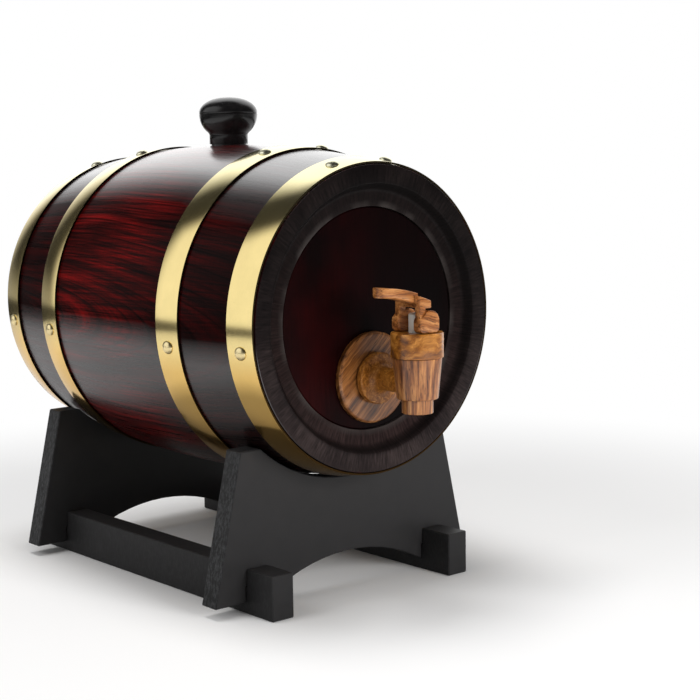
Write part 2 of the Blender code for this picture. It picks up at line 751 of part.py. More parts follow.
def print_least_gap(points):
    """Measure and print the least gap between the wire and its own next curls."""
    least = math.inf
    for index, point in enumerate(points):
        for near in range(index + SPRING_CURL_POINTS // 2, len(points) - 1):
            foot, share = intersect_point_line(point, points[near], points[near + 1])
            if share < 0:
                foot = points[near]
            if share > 1:
                foot = points[near + 1]
            least = min(least, (point - foot).length - SPRING_WIRE_RADIUS - SPRING_WIRE_RADIUS)
    print(f"tap_spring: least gap to itself {least * 1000:.2f} mm")


def build_spring(tap, material):
    """The compression spring around the stem: one tube that follows a helix, its ends closed up."""
    points = spring_points()
    print_least_gap(points)
    curve = bpy.data.curves.new("tap_spring", "CURVE")
    curve.dimensions = "3D"
    curve.bevel_depth = SPRING_WIRE_RADIUS
    curve.bevel_resolution = 1
    curve.use_fill_caps = True
    spline = curve.splines.new("POLY")
    spline.points.add(len(points) - 1)
    for target, point in zip(spline.points, points):
        target.co = (*point, 1)
    curve.materials.append(material)
    spring = bpy.data.objects.new("tap_spring", curve)
    spring.parent = tap
    bpy.context.collection.objects.link(spring)
    return spring


def foot_outline():
    """A cam foot seen from the front, with the pin at the origin."""
    sole = -PIN_ABOVE_CAP
    heel = (-FOOT_REAR + FOOT_CORNER, sole + FOOT_CORNER)
    toe = (FOOT_FRONT - FOOT_CORNER, sole + FOOT_CORNER)
    outline = arc(heel, FOOT_CORNER, math.pi, QUARTER * 3, 4)
    outline += arc(toe, FOOT_CORNER, -QUARTER, 0, 4)
    outline += arc((0, 0), FOOT_FRONT, 0, QUARTER + QUARTER / 3, 8)
    outline += [(-FOOT_REAR + FOOT_SHOULDER / 2, FOOT_SHOULDER), (-FOOT_REAR, 0)]
    return outline


def bridge_outline():
    """The arms and the yoke above them, seen from the front, with the pin at the origin."""
    return [
        (-ARM_REAR, -FOOT_SHOULDER),
        (ARM_BREADTH - ARM_REAR, -FOOT_SHOULDER),
        (ARM_BREADTH - ARM_REAR, YOKE_BOTTOM),
        (YOKE_FRONT, YOKE_BOTTOM),
        (YOKE_FRONT, YOKE_TOP - YOKE_SLOPE),
        (-ARM_REAR, YOKE_TOP),
    ]


def paddle_section(x, half_width):
    """The paddle's section at a distance from the pin: flat on top, its lower edges chamfered."""
    share = (-PADDLE_ROOT - x) / (PADDLE_TIP - PADDLE_ROOT)
    top = PADDLE_ROOT_TOP + PADDLE_RISE * share + PADDLE_BOW * share * (1 - share)
    thickness = PADDLE_ROOT_THICKNESS + (PADDLE_TIP_THICKNESS - PADDLE_ROOT_THICKNESS) * share
    chamfer = PADDLE_CHAMFER * half_width / PADDLE_HALF_WIDTH
    side = [
        (half_width - chamfer, top - thickness),
        (half_width, top - thickness + PADDLE_CHAMFER),
        (half_width, top - LEVER_EDGE),
        (half_width - LEVER_EDGE * half_width / PADDLE_HALF_WIDTH, top),
    ]
    return [(x, y, z) for y, z in side] + [(x, -y, z) for y, z in reversed(side)]


def paddle_mesh():
    """The paddle: sections lofted from its root to its half-round tip."""
    centre = -PADDLE_TIP + PADDLE_HALF_WIDTH
    run = -PADDLE_ROOT - centre
    sections = []
    for step in range(PADDLE_STEPS):
        sections.append(paddle_section(-PADDLE_ROOT - run * step / PADDLE_STEPS, PADDLE_HALF_WIDTH))
    for step in range(PADDLE_ROUND_STEPS):
        angle = QUARTER * step / (PADDLE_ROUND_STEPS - 1 / 2)
        reach = PADDLE_HALF_WIDTH * math.sin(angle)
        sections.append(paddle_section(centre - reach, PADDLE_HALF_WIDTH * math.cos(angle)))
    return loft_mesh(sections)


def loft_mesh(sections):
    """Join closed sections that have as many points each, with a face over both ends."""
    bm = bmesh.new()
    rings = [[bm.verts.new(point) for point in section] for section in sections]
    for ring, after in zip(rings, rings[1:]):
        for index in range(len(ring)):
            follow = (index + 1) % len(ring)
            bm.faces.new((ring[index], ring[follow], after[follow], after[index]))
    bm.faces.new(rings[0])
    bm.faces.new(rings[-1])
    return bm


def build_lever(tap, material):
    """The lever: a paddle, a yoke and two arms with cam feet, which straddle the stem."""
    place = (0, 0, PIN_HEIGHT)
    half = FOOT_OUTER - ARM_OUTER_SET
    lever = add_object("tap_lever", prism_mesh(bridge_outline(), -half, half), material, tap, place)
    add_bevel(lever, LEVER_EDGE)
    slot_half = FOOT_INNER + ARM_INNER_SET
    slot_low = (-ARM_REAR - CUT_OVERRUN, -slot_half, -FOOT_SHOULDER - CUT_OVERRUN)
    slot_high = (YOKE_FRONT + CUT_OVERRUN, slot_half, YOKE_BOTTOM + YOKE_SLOT_RISE)
    slot = add_object("lever_slot_cutter", box_mesh(slot_low, slot_high), None, tap, place)
    boolean(lever, slot, "DIFFERENCE")
    feet = (("front_foot_tool", -FOOT_OUTER, -FOOT_INNER), ("rear_foot_tool", FOOT_INNER, FOOT_OUTER))
    for name, low, high in feet:
        foot = add_object(name, prism_mesh(foot_outline(), low, high), material, tap, place)
        boolean(lever, foot, "UNION")
    paddle = add_object("paddle_tool", paddle_mesh(), material, tap, place)
    boolean(lever, paddle, "UNION")
    cross_hole(lever, "lever_hole_cutter", FOOT_OUTER + CUT_OVERRUN, tap, place)
    return lever


def build_pin(tap, material):
    """The pin through both feet and the stem."""
    profile = [(0, -FOOT_OUTER), (PIN_RADIUS, -FOOT_OUTER), (PIN_RADIUS, FOOT_OUTER), (0, FOOT_OUTER)]
    bm = turned_mesh(profile, PIN_SIDES)
    return add_object("tap_pin", bm, material, tap, (0, 0, PIN_HEIGHT), FACING_FRONT, SMOOTH)


def build_stand(middle):
    black = make_material("stand_black", (0.018, 0.018, 0.020), 0.55)
    stand = add_empty("stand_frame", (0, 0, 0))
    stand.parent = middle
    build_panel("stand_panel_front", -PANEL_OUTER, stand, black)
    build_panel("stand_panel_rear", PANEL_INNER, stand, black)
    build_rail("stand_rail_left", -1, stand, black)
    build_rail("stand_rail_right", 1, stand, black)


def build_cask(middle):
    cherry = make_material("stained_oak", (0.085, 0.012, 0.012), 0.25)
    dark = make_material("head_oak", (0.045, 0.014, 0.014), 0.45)
    brass = make_material("hoop_brass", (0.80, 0.62, 0.30), 0.25, 1.0)
    gloss = make_material("bung_black", (0.012, 0.011, 0.012), 0.15)
    cask = add_empty("cask_frame", (0, 0, CASK_AXIS_HEIGHT))
    cask.parent = middle
    staves = build_staves(cask, cherry)
    cut_bung_hole(staves[0], cask)
    front = build_head("head_front", 1, cask, dark)
    build_head("head_rear", -1, cask, dark)
    body_far = CASK_HALF - HOOP_BODY_INSET
    end_far = CASK_HALF - HOOP_END_INSET
    build_hoop("hoop_front_end", end_far - HOOP_WIDTH, end_far, cask, brass)
    build_hoop("hoop_front_body", body_far - HOOP_WIDTH, body_far, cask, brass)
    build_hoop("hoop_rear_body", HOOP_WIDTH - body_far, -body_far, cask, brass)
    build_hoop("hoop_rear_end", HOOP_WIDTH - end_far, -end_far, cask, brass)
    build_bung(cask, gloss)
    return cask, front


def cut_tap_hole(head, tap):
    """The hole through the front head for the tap's spigot."""
    radius = SPIGOT_RADIUS + FIT_GAP
    near = -TAP_REACH + CUT_OVERRUN
    far = -TAP_REACH - HEAD_THICKNESS - CUT_OVERRUN
    profile = [(0, far), (radius, far), (radius, near), (0, near)]
    cutter = add_object(
        "tap_hole_cutter", turned_mesh(profile, TAP_SIDES), None, tap, (0, 0, 0), FACING_FRONT
    )
    boolean(head, cutter, "DIFFERENCE")


def build_tap(cask, head):
    olive = make_material("tap_wood_print", (0.42, 0.22, 0.07), 0.35)
    ivory = make_material("stem_ivory", (0.80, 0.78, 0.72), 0.40)
    rubber = make_material("seal_rubber", (0.10, 0.10, 0.10), 0.70)
    steel = make_material("spring_steel", (0.60, 0.60, 0.60), 0.30, 1.0)
    tap = tap_frame(cask)
    _, outer_gasket, rosette, _, inner_gasket, nut, _ = fixing_distances()
    cut_tap_hole(head, tap)
    ring_on_spigot("tap_rosette", rosette, ROSETTE_THICKNESS, ROSETTE_RADIUS, ROSETTE_EDGE, tap, olive)
    for name, face in (("tap_gasket_outer", outer_gasket), ("tap_gasket_inner", inner_gasket)):
        ring_on_spigot(name, face, GASKET_THICKNESS, GASKET_RADIUS, GASKET_EDGE, tap, rubber)
    build_nut(nut, tap, olive)
    build_tap_body(tap, olive)
    build_cap(tap, olive)
    build_boot(tap, rubber)
    build_stem(tap, ivory)
    build_spring(tap, steel)
    build_lever(tap, olive)
    build_pin(tap, olive)


def main():
    clear_scene()
    middle = add_empty("middle", (0, MIDDLE_Y, 0))
    build_stand(middle)
    cask, head = build_cask(middle)
    build_tap(cask, head)


main()
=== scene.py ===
"""Oak cask liquor dispenser: the dressed part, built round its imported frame.

Units are metres in the frame's own axes: +Z up, the tap faces -Y. The main places come from the frame, and
sizes that the part has too go by the same names. The cask's depths are counted from its end faces, the bung's
heights from the bulge under it, and the tap's heights from the axis of its neck.
"""

import math

import bmesh
import bpy
from mathutils import Matrix, Vector


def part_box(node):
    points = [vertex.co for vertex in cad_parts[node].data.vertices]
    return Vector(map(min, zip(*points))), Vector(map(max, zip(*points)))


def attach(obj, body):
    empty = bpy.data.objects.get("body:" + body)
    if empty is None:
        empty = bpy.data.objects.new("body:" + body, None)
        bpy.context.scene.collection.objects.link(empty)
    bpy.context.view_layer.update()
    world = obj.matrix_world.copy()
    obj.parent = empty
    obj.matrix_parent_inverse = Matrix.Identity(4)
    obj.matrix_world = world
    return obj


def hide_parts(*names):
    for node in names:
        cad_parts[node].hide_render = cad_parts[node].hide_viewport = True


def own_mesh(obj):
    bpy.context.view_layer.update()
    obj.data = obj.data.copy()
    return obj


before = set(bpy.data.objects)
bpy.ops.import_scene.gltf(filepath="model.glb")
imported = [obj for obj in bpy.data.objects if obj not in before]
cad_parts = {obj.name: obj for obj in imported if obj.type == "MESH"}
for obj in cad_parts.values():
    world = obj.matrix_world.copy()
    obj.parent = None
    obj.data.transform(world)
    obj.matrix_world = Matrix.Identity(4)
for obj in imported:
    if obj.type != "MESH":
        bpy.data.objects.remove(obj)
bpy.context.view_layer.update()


def middle(node, axis):
    """The middle of a CAD node's box along one axis."""
    low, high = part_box(node)
    return (low[axis] + high[axis]) / 2


Y, Z = 1, 2
QUARTER = math.pi / 2
SHARP = math.radians(35)
SAME_POINT = 1e-7
FIT_GAP = 0.0003
PIN_GAP = 0.0001
CUT_OVERRUN = 0.002

# How finely round forms are turned
HOOP_SIDES = 192
HEAD_SIDES = 144
ROSETTE_SIDES = 128
TAP_SIDES = 96
BORE_SIDES = 64
SMALL_SIDES = 48
RIVET_SIDES = 36
PIN_SIDES = 32

# Cask and heads
CASK_MIDDLE = Vector((0, middle("stave_01", Y), middle("head_front", Z)))
CASK_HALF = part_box("stave_01")[1][Y] - middle("stave_01", Y)
CASK_END_RADIUS = 0.0910
CASK_BULGE_RADIUS = 0.1033
STAVE_THICKNESS = 0.0185
STAVE_COUNT = 16
SEAM = 0.00005
CHIME_FLAT = 0.0112
CHIME_WALL = 0.0039
CHIME_WALL_DEPTH = 0.0057
CHIME_LEDGE = 0.0097
CHIME_LEDGE_DROP = 0.0005
LIP_THICKNESS = 0.0032
CROZE_DEPTH = 0.0040
HEAD_BELOW_LIP = 0.0006
HEAD_THICKNESS = 0.0140
HEAD_TONGUE = 0.0070

BORE_RADIUS = CASK_BULGE_RADIUS - STAVE_THICKNESS
FLAT_RADIUS = CASK_END_RADIUS - CHIME_FLAT
WALL_RADIUS = FLAT_RADIUS - CHIME_WALL
LIP_RADIUS = WALL_RADIUS - CHIME_LEDGE
LIP_DEPTH = CHIME_WALL_DEPTH + CHIME_LEDGE_DROP
CROZE_RADIUS = LIP_RADIUS + CROZE_DEPTH
CROZE_START = LIP_DEPTH + LIP_THICKNESS
CROZE_END = CROZE_START + HEAD_TONGUE + 2 * FIT_GAP

# Hoops and rivets
HOOP_THICKNESS = 0.0011
HOOP_WIDTH = 0.0195
HOOP_END_INSET = 0.0004
HOOP_BODY_INSET = 0.0603
RIVET_RADIUS = 0.0040
RIVET_HEIGHT = 0.0022
RIVET_SINK = 0.0007
RIVET_ANGLES = (79.5, 105.0, 187.5, 352.5)

# Bung
BUNG_OFFSET = 0.0050
BUNG_KNOB_RADIUS = 0.0188
BUNG_KNOB_HEIGHT = 0.0303
BUNG_KNOB_EASE = 0.0006
BUNG_WAIST_HEIGHT = 0.0195
BUNG_NECK_RADIUS = 0.0124
BUNG_NECK_HEIGHT = 0.0062
BUNG_GROOVE = 0.0003
BUNG_PLUG_TOP_RADIUS = 0.0113
BUNG_PLUG_TIP_RADIUS = 0.0103
BUNG_PLUG_LENGTH = 0.0240
BUNG_PLUG_CHAMFER = 0.0012
BUNG_HOLE_TOP_RADIUS = 0.01168
BUNG_HOLE_TIP_RADIUS = 0.0098
BUNG_HOLE_DEPTH = 0.03
BUNG_SKIRT_SHARES = (
    (0.0, 1.0), (0.03, 0.94), (0.12, 0.88), (0.33, 0.79), (0.56, 0.66), (0.74, 0.51), (0.88, 0.35),
    (0.96, 0.18), (1.0, 0.0),
)

# Tap
TAP_AXIS = Vector((0, middle("tap_pin", Y), middle("tap_rosette", Z)))
PIN_HEIGHT = middle("tap_pin", Z) - TAP_AXIS.z
TAP_REACH = 0.0406
ROSETTE_RADIUS = 0.0273
ROSETTE_THICKNESS = 0.0040
ROSETTE_EDGE = 0.0012
GASKET_THICKNESS = 0.0009
COLLAR_RADIUS = 0.0155
COLLAR_THICKNESS = 0.0036
NECK_RADIUS = 0.0069
NECK_FLARE = 0.0044
NECK_ROOT = 0.0050
SPIGOT_RADIUS = 0.0074
SPIGOT_END = 0.0020
INLET_BORE = 0.0040
NUT_THICKNESS = 0.0070
CAP_RADIUS = 0.01525
CAP_TOP_HEIGHT = 0.0301
CAP_HEIGHT = 0.0147
CAP_PLATE = 0.0038
CAP_WALL = 0.0022
BOOT_RIM_THICKNESS = 0.0014
BODY_STEP = 0.00085
BODY_TAPER = 0.0023
BODY_WALL = 0.0021
BODY_FOOT_HEIGHT = -0.0084
SPOUT_RADIUS = 0.0091
SPOUT_WALL = 0.0028
SPOUT_LENGTH = 0.0084
SEAT_HEIGHT = -0.0046
STEM_RADIUS = 0.0049
STEM_SIDE_GAP = 0.0011

CAP_UNDERSIDE = CAP_TOP_HEIGHT - CAP_PLATE
CAP_BORE = CAP_RADIUS - CAP_WALL
BODY_SEAM_HEIGHT = CAP_TOP_HEIGHT - CAP_HEIGHT
BODY_SEAM_RADIUS = CAP_RADIUS - BODY_STEP
BODY_RIM_RADIUS = CAP_BORE - FIT_GAP
BODY_RIM_HEIGHT = CAP_UNDERSIDE - BOOT_RIM_THICKNESS - 2 * FIT_GAP
TAP_HOLE_RADIUS = SPIGOT_RADIUS + FIT_GAP

# Lever: x runs away from the paddle and z up, both from the pin
PIN_RADIUS = 0.0015
FOOT_THICKNESS = 0.0062
FOOT_SOLE = -0.0066
FOOT_REAR = 0.0085
FOOT_FRONT = 0.0062
FOOT_CORNER = 0.0030
FOOT_SHOULDER = 0.0022
FOOT_SHOULDER_SHARES = ((1 / 2, 1.0), (3 / 22, 6 / 11), (0.0, 0.0))
ARM_INNER_SET = 0.0003
ARM_OUTER_SET = 0.0016
ARM_REAR = 0.0073
ARM_BREADTH = 0.0044
ARM_BOTTOM = -0.0022
YOKE_BOTTOM = 0.0074
YOKE_SLOT_RISE = 0.0005
YOKE_TOP = 0.0148
YOKE_SLOPE = 0.0031
YOKE_FRONT = 0.0015
PADDLE_TIP = 0.0317
PADDLE_ROOT = 0.0045
PADDLE_HALF_WIDTH = 0.0057
PADDLE_ROOT_TOP = 0.0160
PADDLE_RISE = 0.0043
PADDLE_BOW = 0.0038
PADDLE_TIP_THICKNESS = 0.0056
PADDLE_ROOT_THICKNESS = 0.0068

# Ways to place and to make meshes

FRONTWARD = Matrix.Rotation(QUARTER, 4, "X")
ON_CASK = Matrix.Translation(CASK_MIDDLE) @ FRONTWARD


def tap_place(height=0.0):
    return Matrix.Translation(TAP_AXIS + Vector((0, 0, height)))


def cask_radius(y):
    """The bent outside's radius at a distance from the cask's middle."""
    return CASK_BULGE_RADIUS - (CASK_BULGE_RADIUS - CASK_END_RADIUS) * (y / CASK_HALF) ** 2


def bung_place():
    return Matrix.Translation(CASK_MIDDLE + Vector((0, BUNG_OFFSET, cask_radius(BUNG_OFFSET))))


def linked(name, data):
    item = bpy.data.objects.new(name, data)
    bpy.context.scene.collection.objects.link(item)
    return item


def build(name, mesh, materials, body, node):
    """A piece that rides on a body and takes a CAD node's place."""
    item = linked(name, mesh)
    for material in materials:
        mesh.materials.append(material)
    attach(item, body)
    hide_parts(node)
    return item


def saved(bm, name):
    mesh = bpy.data.meshes.new(name)
    bm.to_mesh(mesh)
    bm.free()
    return mesh


def mesh_of(bm, name, angle=SHARP, matrix=None):
    """A mesh with smooth faces and sharp edges where its faces meet at more than an angle."""
    bmesh.ops.remove_doubles(bm, verts=bm.verts, dist=SAME_POINT)
    bmesh.ops.recalc_face_normals(bm, faces=bm.faces)
    if matrix is not None:
        bmesh.ops.transform(bm, matrix=matrix, verts=bm.verts)
    mesh = saved(bm, name)
    mesh.shade_smooth()
    mesh.set_sharp_from_angle(angle=angle)
    return mesh


def turned(profile, sides, closed=False):
    """A profile of (radius, height) points turned about Z."""
    bm = bmesh.new()
    verts = [bm.verts.new((radius, 0, height)) for radius, height in profile]
    edges = [bm.edges.new(pair) for pair in zip(verts, verts[1:])]
    if closed:
        edges.append(bm.edges.new((verts[-1], verts[0])))
    bmesh.ops.spin(
        bm, geom=verts + edges, cent=(0, 0, 0), axis=(0, 0, 1), angle=math.tau, steps=sides, use_merge=True
    )
    bmesh.ops.remove_doubles(bm, verts=bm.verts, dist=SAME_POINT)
    return bm


def sector(profile, start, span, columns):
    """A closed profile turned through part of a circle about Z, with a face at both ends."""
    bm = bmesh.new()
    spot = [(radius * math.cos(start), radius * math.sin(start), height) for radius, height in profile]
    face = bm.faces.new([bm.verts.new(point) for point in spot])
    geometry = [face] + list(face.edges) + list(face.verts)
    bmesh.ops.spin(bm, geom=geometry, cent=(0, 0, 0), axis=(0, 0, 1), angle=span, steps=columns)
    return bm


def prism(outline, low, high):
    """An outline of (x, z) points between two values of y."""
    bm = bmesh.new()
    face = bm.faces.new([bm.verts.new((x, low, z)) for x, z in outline])
    grown = bmesh.ops.extrude_face_region(bm, geom=[face])["geom"]
    moved = [part for part in grown if isinstance(part, bmesh.types.BMVert)]
    bmesh.ops.translate(bm, verts=moved, vec=(0, high - low, 0))
    return bm


def arc(centre, radius, start, end, steps):
    angles = [start + (end - start) * step / steps for step in range(steps + 1)]
    return [(centre[0] + radius * math.cos(a), centre[1] + radius * math.sin(a)) for a in angles]


def rounded(profile, corners, steps):
    """The profile with some of its corners rounded: corners maps a point's index to a radius."""
    made = []
    for index, point in enumerate(profile):
        if index not in corners:
            made.append(point)
            continue
        radius = corners[index]
        here = Vector(point)
        back = (Vector(profile[index - 1]) - here).normalized()
        ahead = (Vector(profile[(index + 1) % len(profile)]) - here).normalized()
        for step in range(steps + 1):
            share = step / steps
            first = here + back * radius * (1 - share)
            second = here + ahead * radius * share
            made.append(tuple(first + (second - first) * share))
    return made


def loose(name, bm):
    """An object for a Boolean, which is removed after use."""
    bmesh.ops.recalc_face_normals(bm, faces=bm.faces)
    return linked(name, saved(bm, name))


def carved(base, *tools, matrix=None):
    """The mesh of a base with other forms joined to it or cut from it, one after another."""
    start = loose("base", base)
    made = [start]
    for operation, bm in tools:
        tool = loose("tool", bm)
        made.append(tool)
        modifier = start.modifiers.new("cut", "BOOLEAN")
        modifier.operation = operation
        modifier.solver = "EXACT"
        modifier.object = tool
    bpy.context.view_layer.update()
    done = bpy.data.meshes.new_from_object(start.evaluated_get(bpy.context.evaluated_depsgraph_get()))
    for item in made:
        bpy.data.objects.remove(item, do_unlink=True)
    if matrix is not None:
        done.transform(matrix)
    done.shade_smooth()
    done.set_sharp_from_angle(angle=SHARP)
    return done


def bevelled(bm, width):
    edges = [e for e in bm.edges if len(e.link_faces) == 2 and e.calc_face_angle(0) > SHARP]
    bmesh.ops.bevel(bm, geom=edges, offset=width, segments=3, profile=0.5, affect="EDGES")
    return bm


# Materials


class Shade:
    """A Principled material and short ways to add nodes to it."""

    def __init__(self, name, origin=(0, 0, 0)):
        self.material = bpy.data.materials.new(name)
        self.material.use_nodes = True
        self.tree = self.material.node_tree
        self.shader = self.tree.nodes["Principled BSDF"]
        spot = self.add("ShaderNodeTexCoord").outputs["Object"]
        self.place = self.vector("SUBTRACT", spot, origin)

    def add(self, kind, **settings):
        node = self.tree.nodes.new(kind)
        for key, value in settings.items():
            setattr(node, key, value)
        return node

    def put(self, socket, value):
        if isinstance(value, bpy.types.NodeSocket):
            self.tree.links.new(value, socket)
        elif isinstance(value, tuple) and len(value) == 3 and socket.type == "RGBA":
            socket.default_value = (*value, 1.0)
        else:
            socket.default_value = value

    def fill(self, node, *values):
        """Puts values into a node's first inputs."""
        for socket, value in zip(node.inputs, values):
            self.put(socket, value)
        return node.outputs[0]

    def feed(self, node, **values):
        """Puts values into a node's inputs, whose names are given in small letters joined by _."""
        sockets = {socket.name.lower().replace(" ", "_"): socket for socket in node.inputs}
        for name, value in values.items():
            self.put(sockets[name], value)
        return node.outputs[0]

    def vector(self, operation, first, second=(0, 0, 0)):
        node = self.add("ShaderNodeVectorMath", operation=operation)
        self.fill(node, first, second)
        return node.outputs["Value" if operation in ("LENGTH", "DISTANCE") else "Vector"]

    def parts(self, vector):
        node = self.add("ShaderNodeSeparateXYZ")
        self.fill(node, vector)
        return tuple(node.outputs)

    def join(self, x, y, z):
        return self.fill(self.add("ShaderNodeCombineXYZ"), x, y, z)

    def stretched(self, vector, shares):
        """A texture's coordinates times a share on each axis: a small share gives long grain."""
        return self.vector("MULTIPLY", vector, shares)

    def turned(self, vector, rotation):
        return self.feed(self.add("ShaderNodeMapping"), vector=vector, rotation=rotation)

    def math(self, operation, first, second=0.0):
        return self.fill(self.add("ShaderNodeMath", operation=operation), first, second)

    def product(self, first, *others):
        for value in others:
            first = self.math("MULTIPLY", first, value)
        return first

    def total(self, first, *others):
        for value in others:
            first = self.math("ADD", first, value)
        return first

    def around(self, noise, width):
        """A noise's swing about zero, times a width."""
        return self.product(self.math("SUBTRACT", noise, 0.5), width)

    def noise(self, vector, scale, detail, roughness, distortion=0.0):
        node = self.add("ShaderNodeTexNoise")
        self.feed(node, vector=vector, scale=scale, detail=detail, roughness=roughness, distortion=distortion)
        return node.outputs["Fac"]

    def ramp(self, value, *stops):
        """Colours or grey levels at places along a value, each stop a place and what is there."""
        node = self.add("ShaderNodeValToRGB")
        self.fill(node, value)
        elements = node.color_ramp.elements
        for index, (place, colour) in enumerate(stops):
            element = elements[index] if index < 2 else elements.new(place)
            element.position = place
            colour = colour if isinstance(colour, tuple) else (colour,) * 3
            element.color = (*colour, 1.0)
        return node.outputs[0]

    def step(self, value, low, high):
        """A smooth rise from 0 at the low value to 1 at the high one."""
        return self.fill(self.add("ShaderNodeMapRange", interpolation_type="SMOOTHSTEP"), value, low, high)

    def mix(self, share, first, second, blend="MIX"):
        node = self.add("ShaderNodeMix", data_type="RGBA", blend_type=blend)
        for index, value in ((0, share), (6, first), (7, second)):
            self.put(node.inputs[index], value)
        return node.outputs[2]

    def bump(self, height, distance, strength):
        return self.feed(self.add("ShaderNodeBump"), height=height, distance=distance, strength=strength)

    def finish(self, colour, roughness, **others):
        self.feed(self.shader, base_color=colour, roughness=roughness, **others)
        return self.material


def shaded(colour, share):
    return tuple(channel * share for channel in colour)


def from_axis(shade, x, z):
    """The distance from the cask's axis."""
    return shade.vector("LENGTH", shade.join(x, 0.0, z))


def cask_lacquer():
    """Stained oak under gloss lacquer: near-black cherry with red streaks along the cask."""
    ground, stain = (0.0050, 0.0018, 0.0018), (0.225, 0.0050, 0.0050)
    sway_width, lean_x, lean_z = 0.006, 0.13, 0.03
    pith = (-0.082, 0.0, -0.004)
    belt_middle = 0.012
    shift = 0.1
    s = Shade("cask_lacquer", CASK_MIDDLE)
    x, y, z = s.parts(s.place)
    bend = s.math("DIVIDE", CASK_BULGE_RADIUS, from_axis(s, x, z))
    x, z = s.product(x, bend), s.product(z, bend)
    spot = s.join(x, y, z)

    slow = s.noise(s.stretched(spot, (1, 0.5, 1)), scale=16, detail=2, roughness=0.5)
    sway = s.around(slow, sway_width)
    near_x, near_z = s.total(x, sway), s.total(z, sway)
    tilt_x = s.total(near_x, s.product(y, lean_x))
    tilt_z = s.math("SUBTRACT", near_z, s.product(y, lean_z))
    from_pith = s.join(s.vector("DISTANCE", s.join(tilt_x, 0.0, tilt_z), pith), y, 0.0)
    rings = s.noise(s.stretched(from_pith, (300, 4, 1)), scale=1.0, detail=3, roughness=0.65)
    figure = s.noise(s.stretched(from_pith, (900, 9, 1)), scale=1.0, detail=2, roughness=0.5)
    swayed = s.join(near_x, y, near_z)
    streaks = s.noise(s.stretched(swayed, (1, 0.022, 1)), scale=640, detail=5, roughness=0.70)
    cloud = s.noise(s.stretched(spot, (1, 0.30, 1)), scale=22, detail=3, roughness=0.6)
    chatter = s.noise(s.stretched(spot, (0.16, 1, 0.16)), scale=900, detail=2, roughness=0.5)

    grain = s.total(s.product(rings, 0.5), s.product(streaks, 0.5))
    lit = s.ramp(grain, (0.44, 0.0), (0.52, 0.32), (0.62, 1.0))
    patch = s.ramp(cloud, (0.34, 0.06), (0.48, 0.55), (0.62, 1.0))
    off_belt = s.math("ABSOLUTE", s.math("SUBTRACT", y, belt_middle))
    belt = s.ramp(off_belt, (0.034, 1.0), (0.066, 0.34), (0.125, 0.12))
    red = s.total(s.product(lit, patch, belt), s.product(patch, belt, 0.07))
    colour = s.mix(red, ground, stain)
    colour = s.mix(0.8, colour, s.ramp(figure, (0.36, 0.25), (0.46, 1.0)), "MULTIPLY")
    colour = s.mix(0.5, colour, s.ramp(chatter, (0.30, 0.55), (0.65, 1.0)), "MULTIPLY")
    height = s.total(s.product(streaks, 0.6), s.product(chatter, 0.4))

    # The gloss follows the height round the cask, as the reflected walls do
    turn = s.math("DIVIDE", z, from_axis(s, x, z))
    ahead = s.ramp(s.total(y, shift), (0.025, 0.035), (0.055, 0.0))
    level = s.total(s.product(turn, 0.5), 0.5, ahead)
    gloss = s.ramp(level, (0.15, 0.15), (0.30, 0.50), (0.42, 0.58), (0.50, 0.01), (0.84, 0.02), (0.93, 1.0))
    return s.finish(
        colour,
        s.ramp(streaks, (0.30, 0.24), (0.70, 0.34)),
        normal=s.bump(height, distance=0.00004, strength=0.5),
        ior=1.75,
        specular_ior_level=gloss,
        coat_weight=s.ramp(level, (0.855, 0.0), (0.94, 1.0)),
        coat_ior=1.8,
        coat_roughness=0.22,
    )


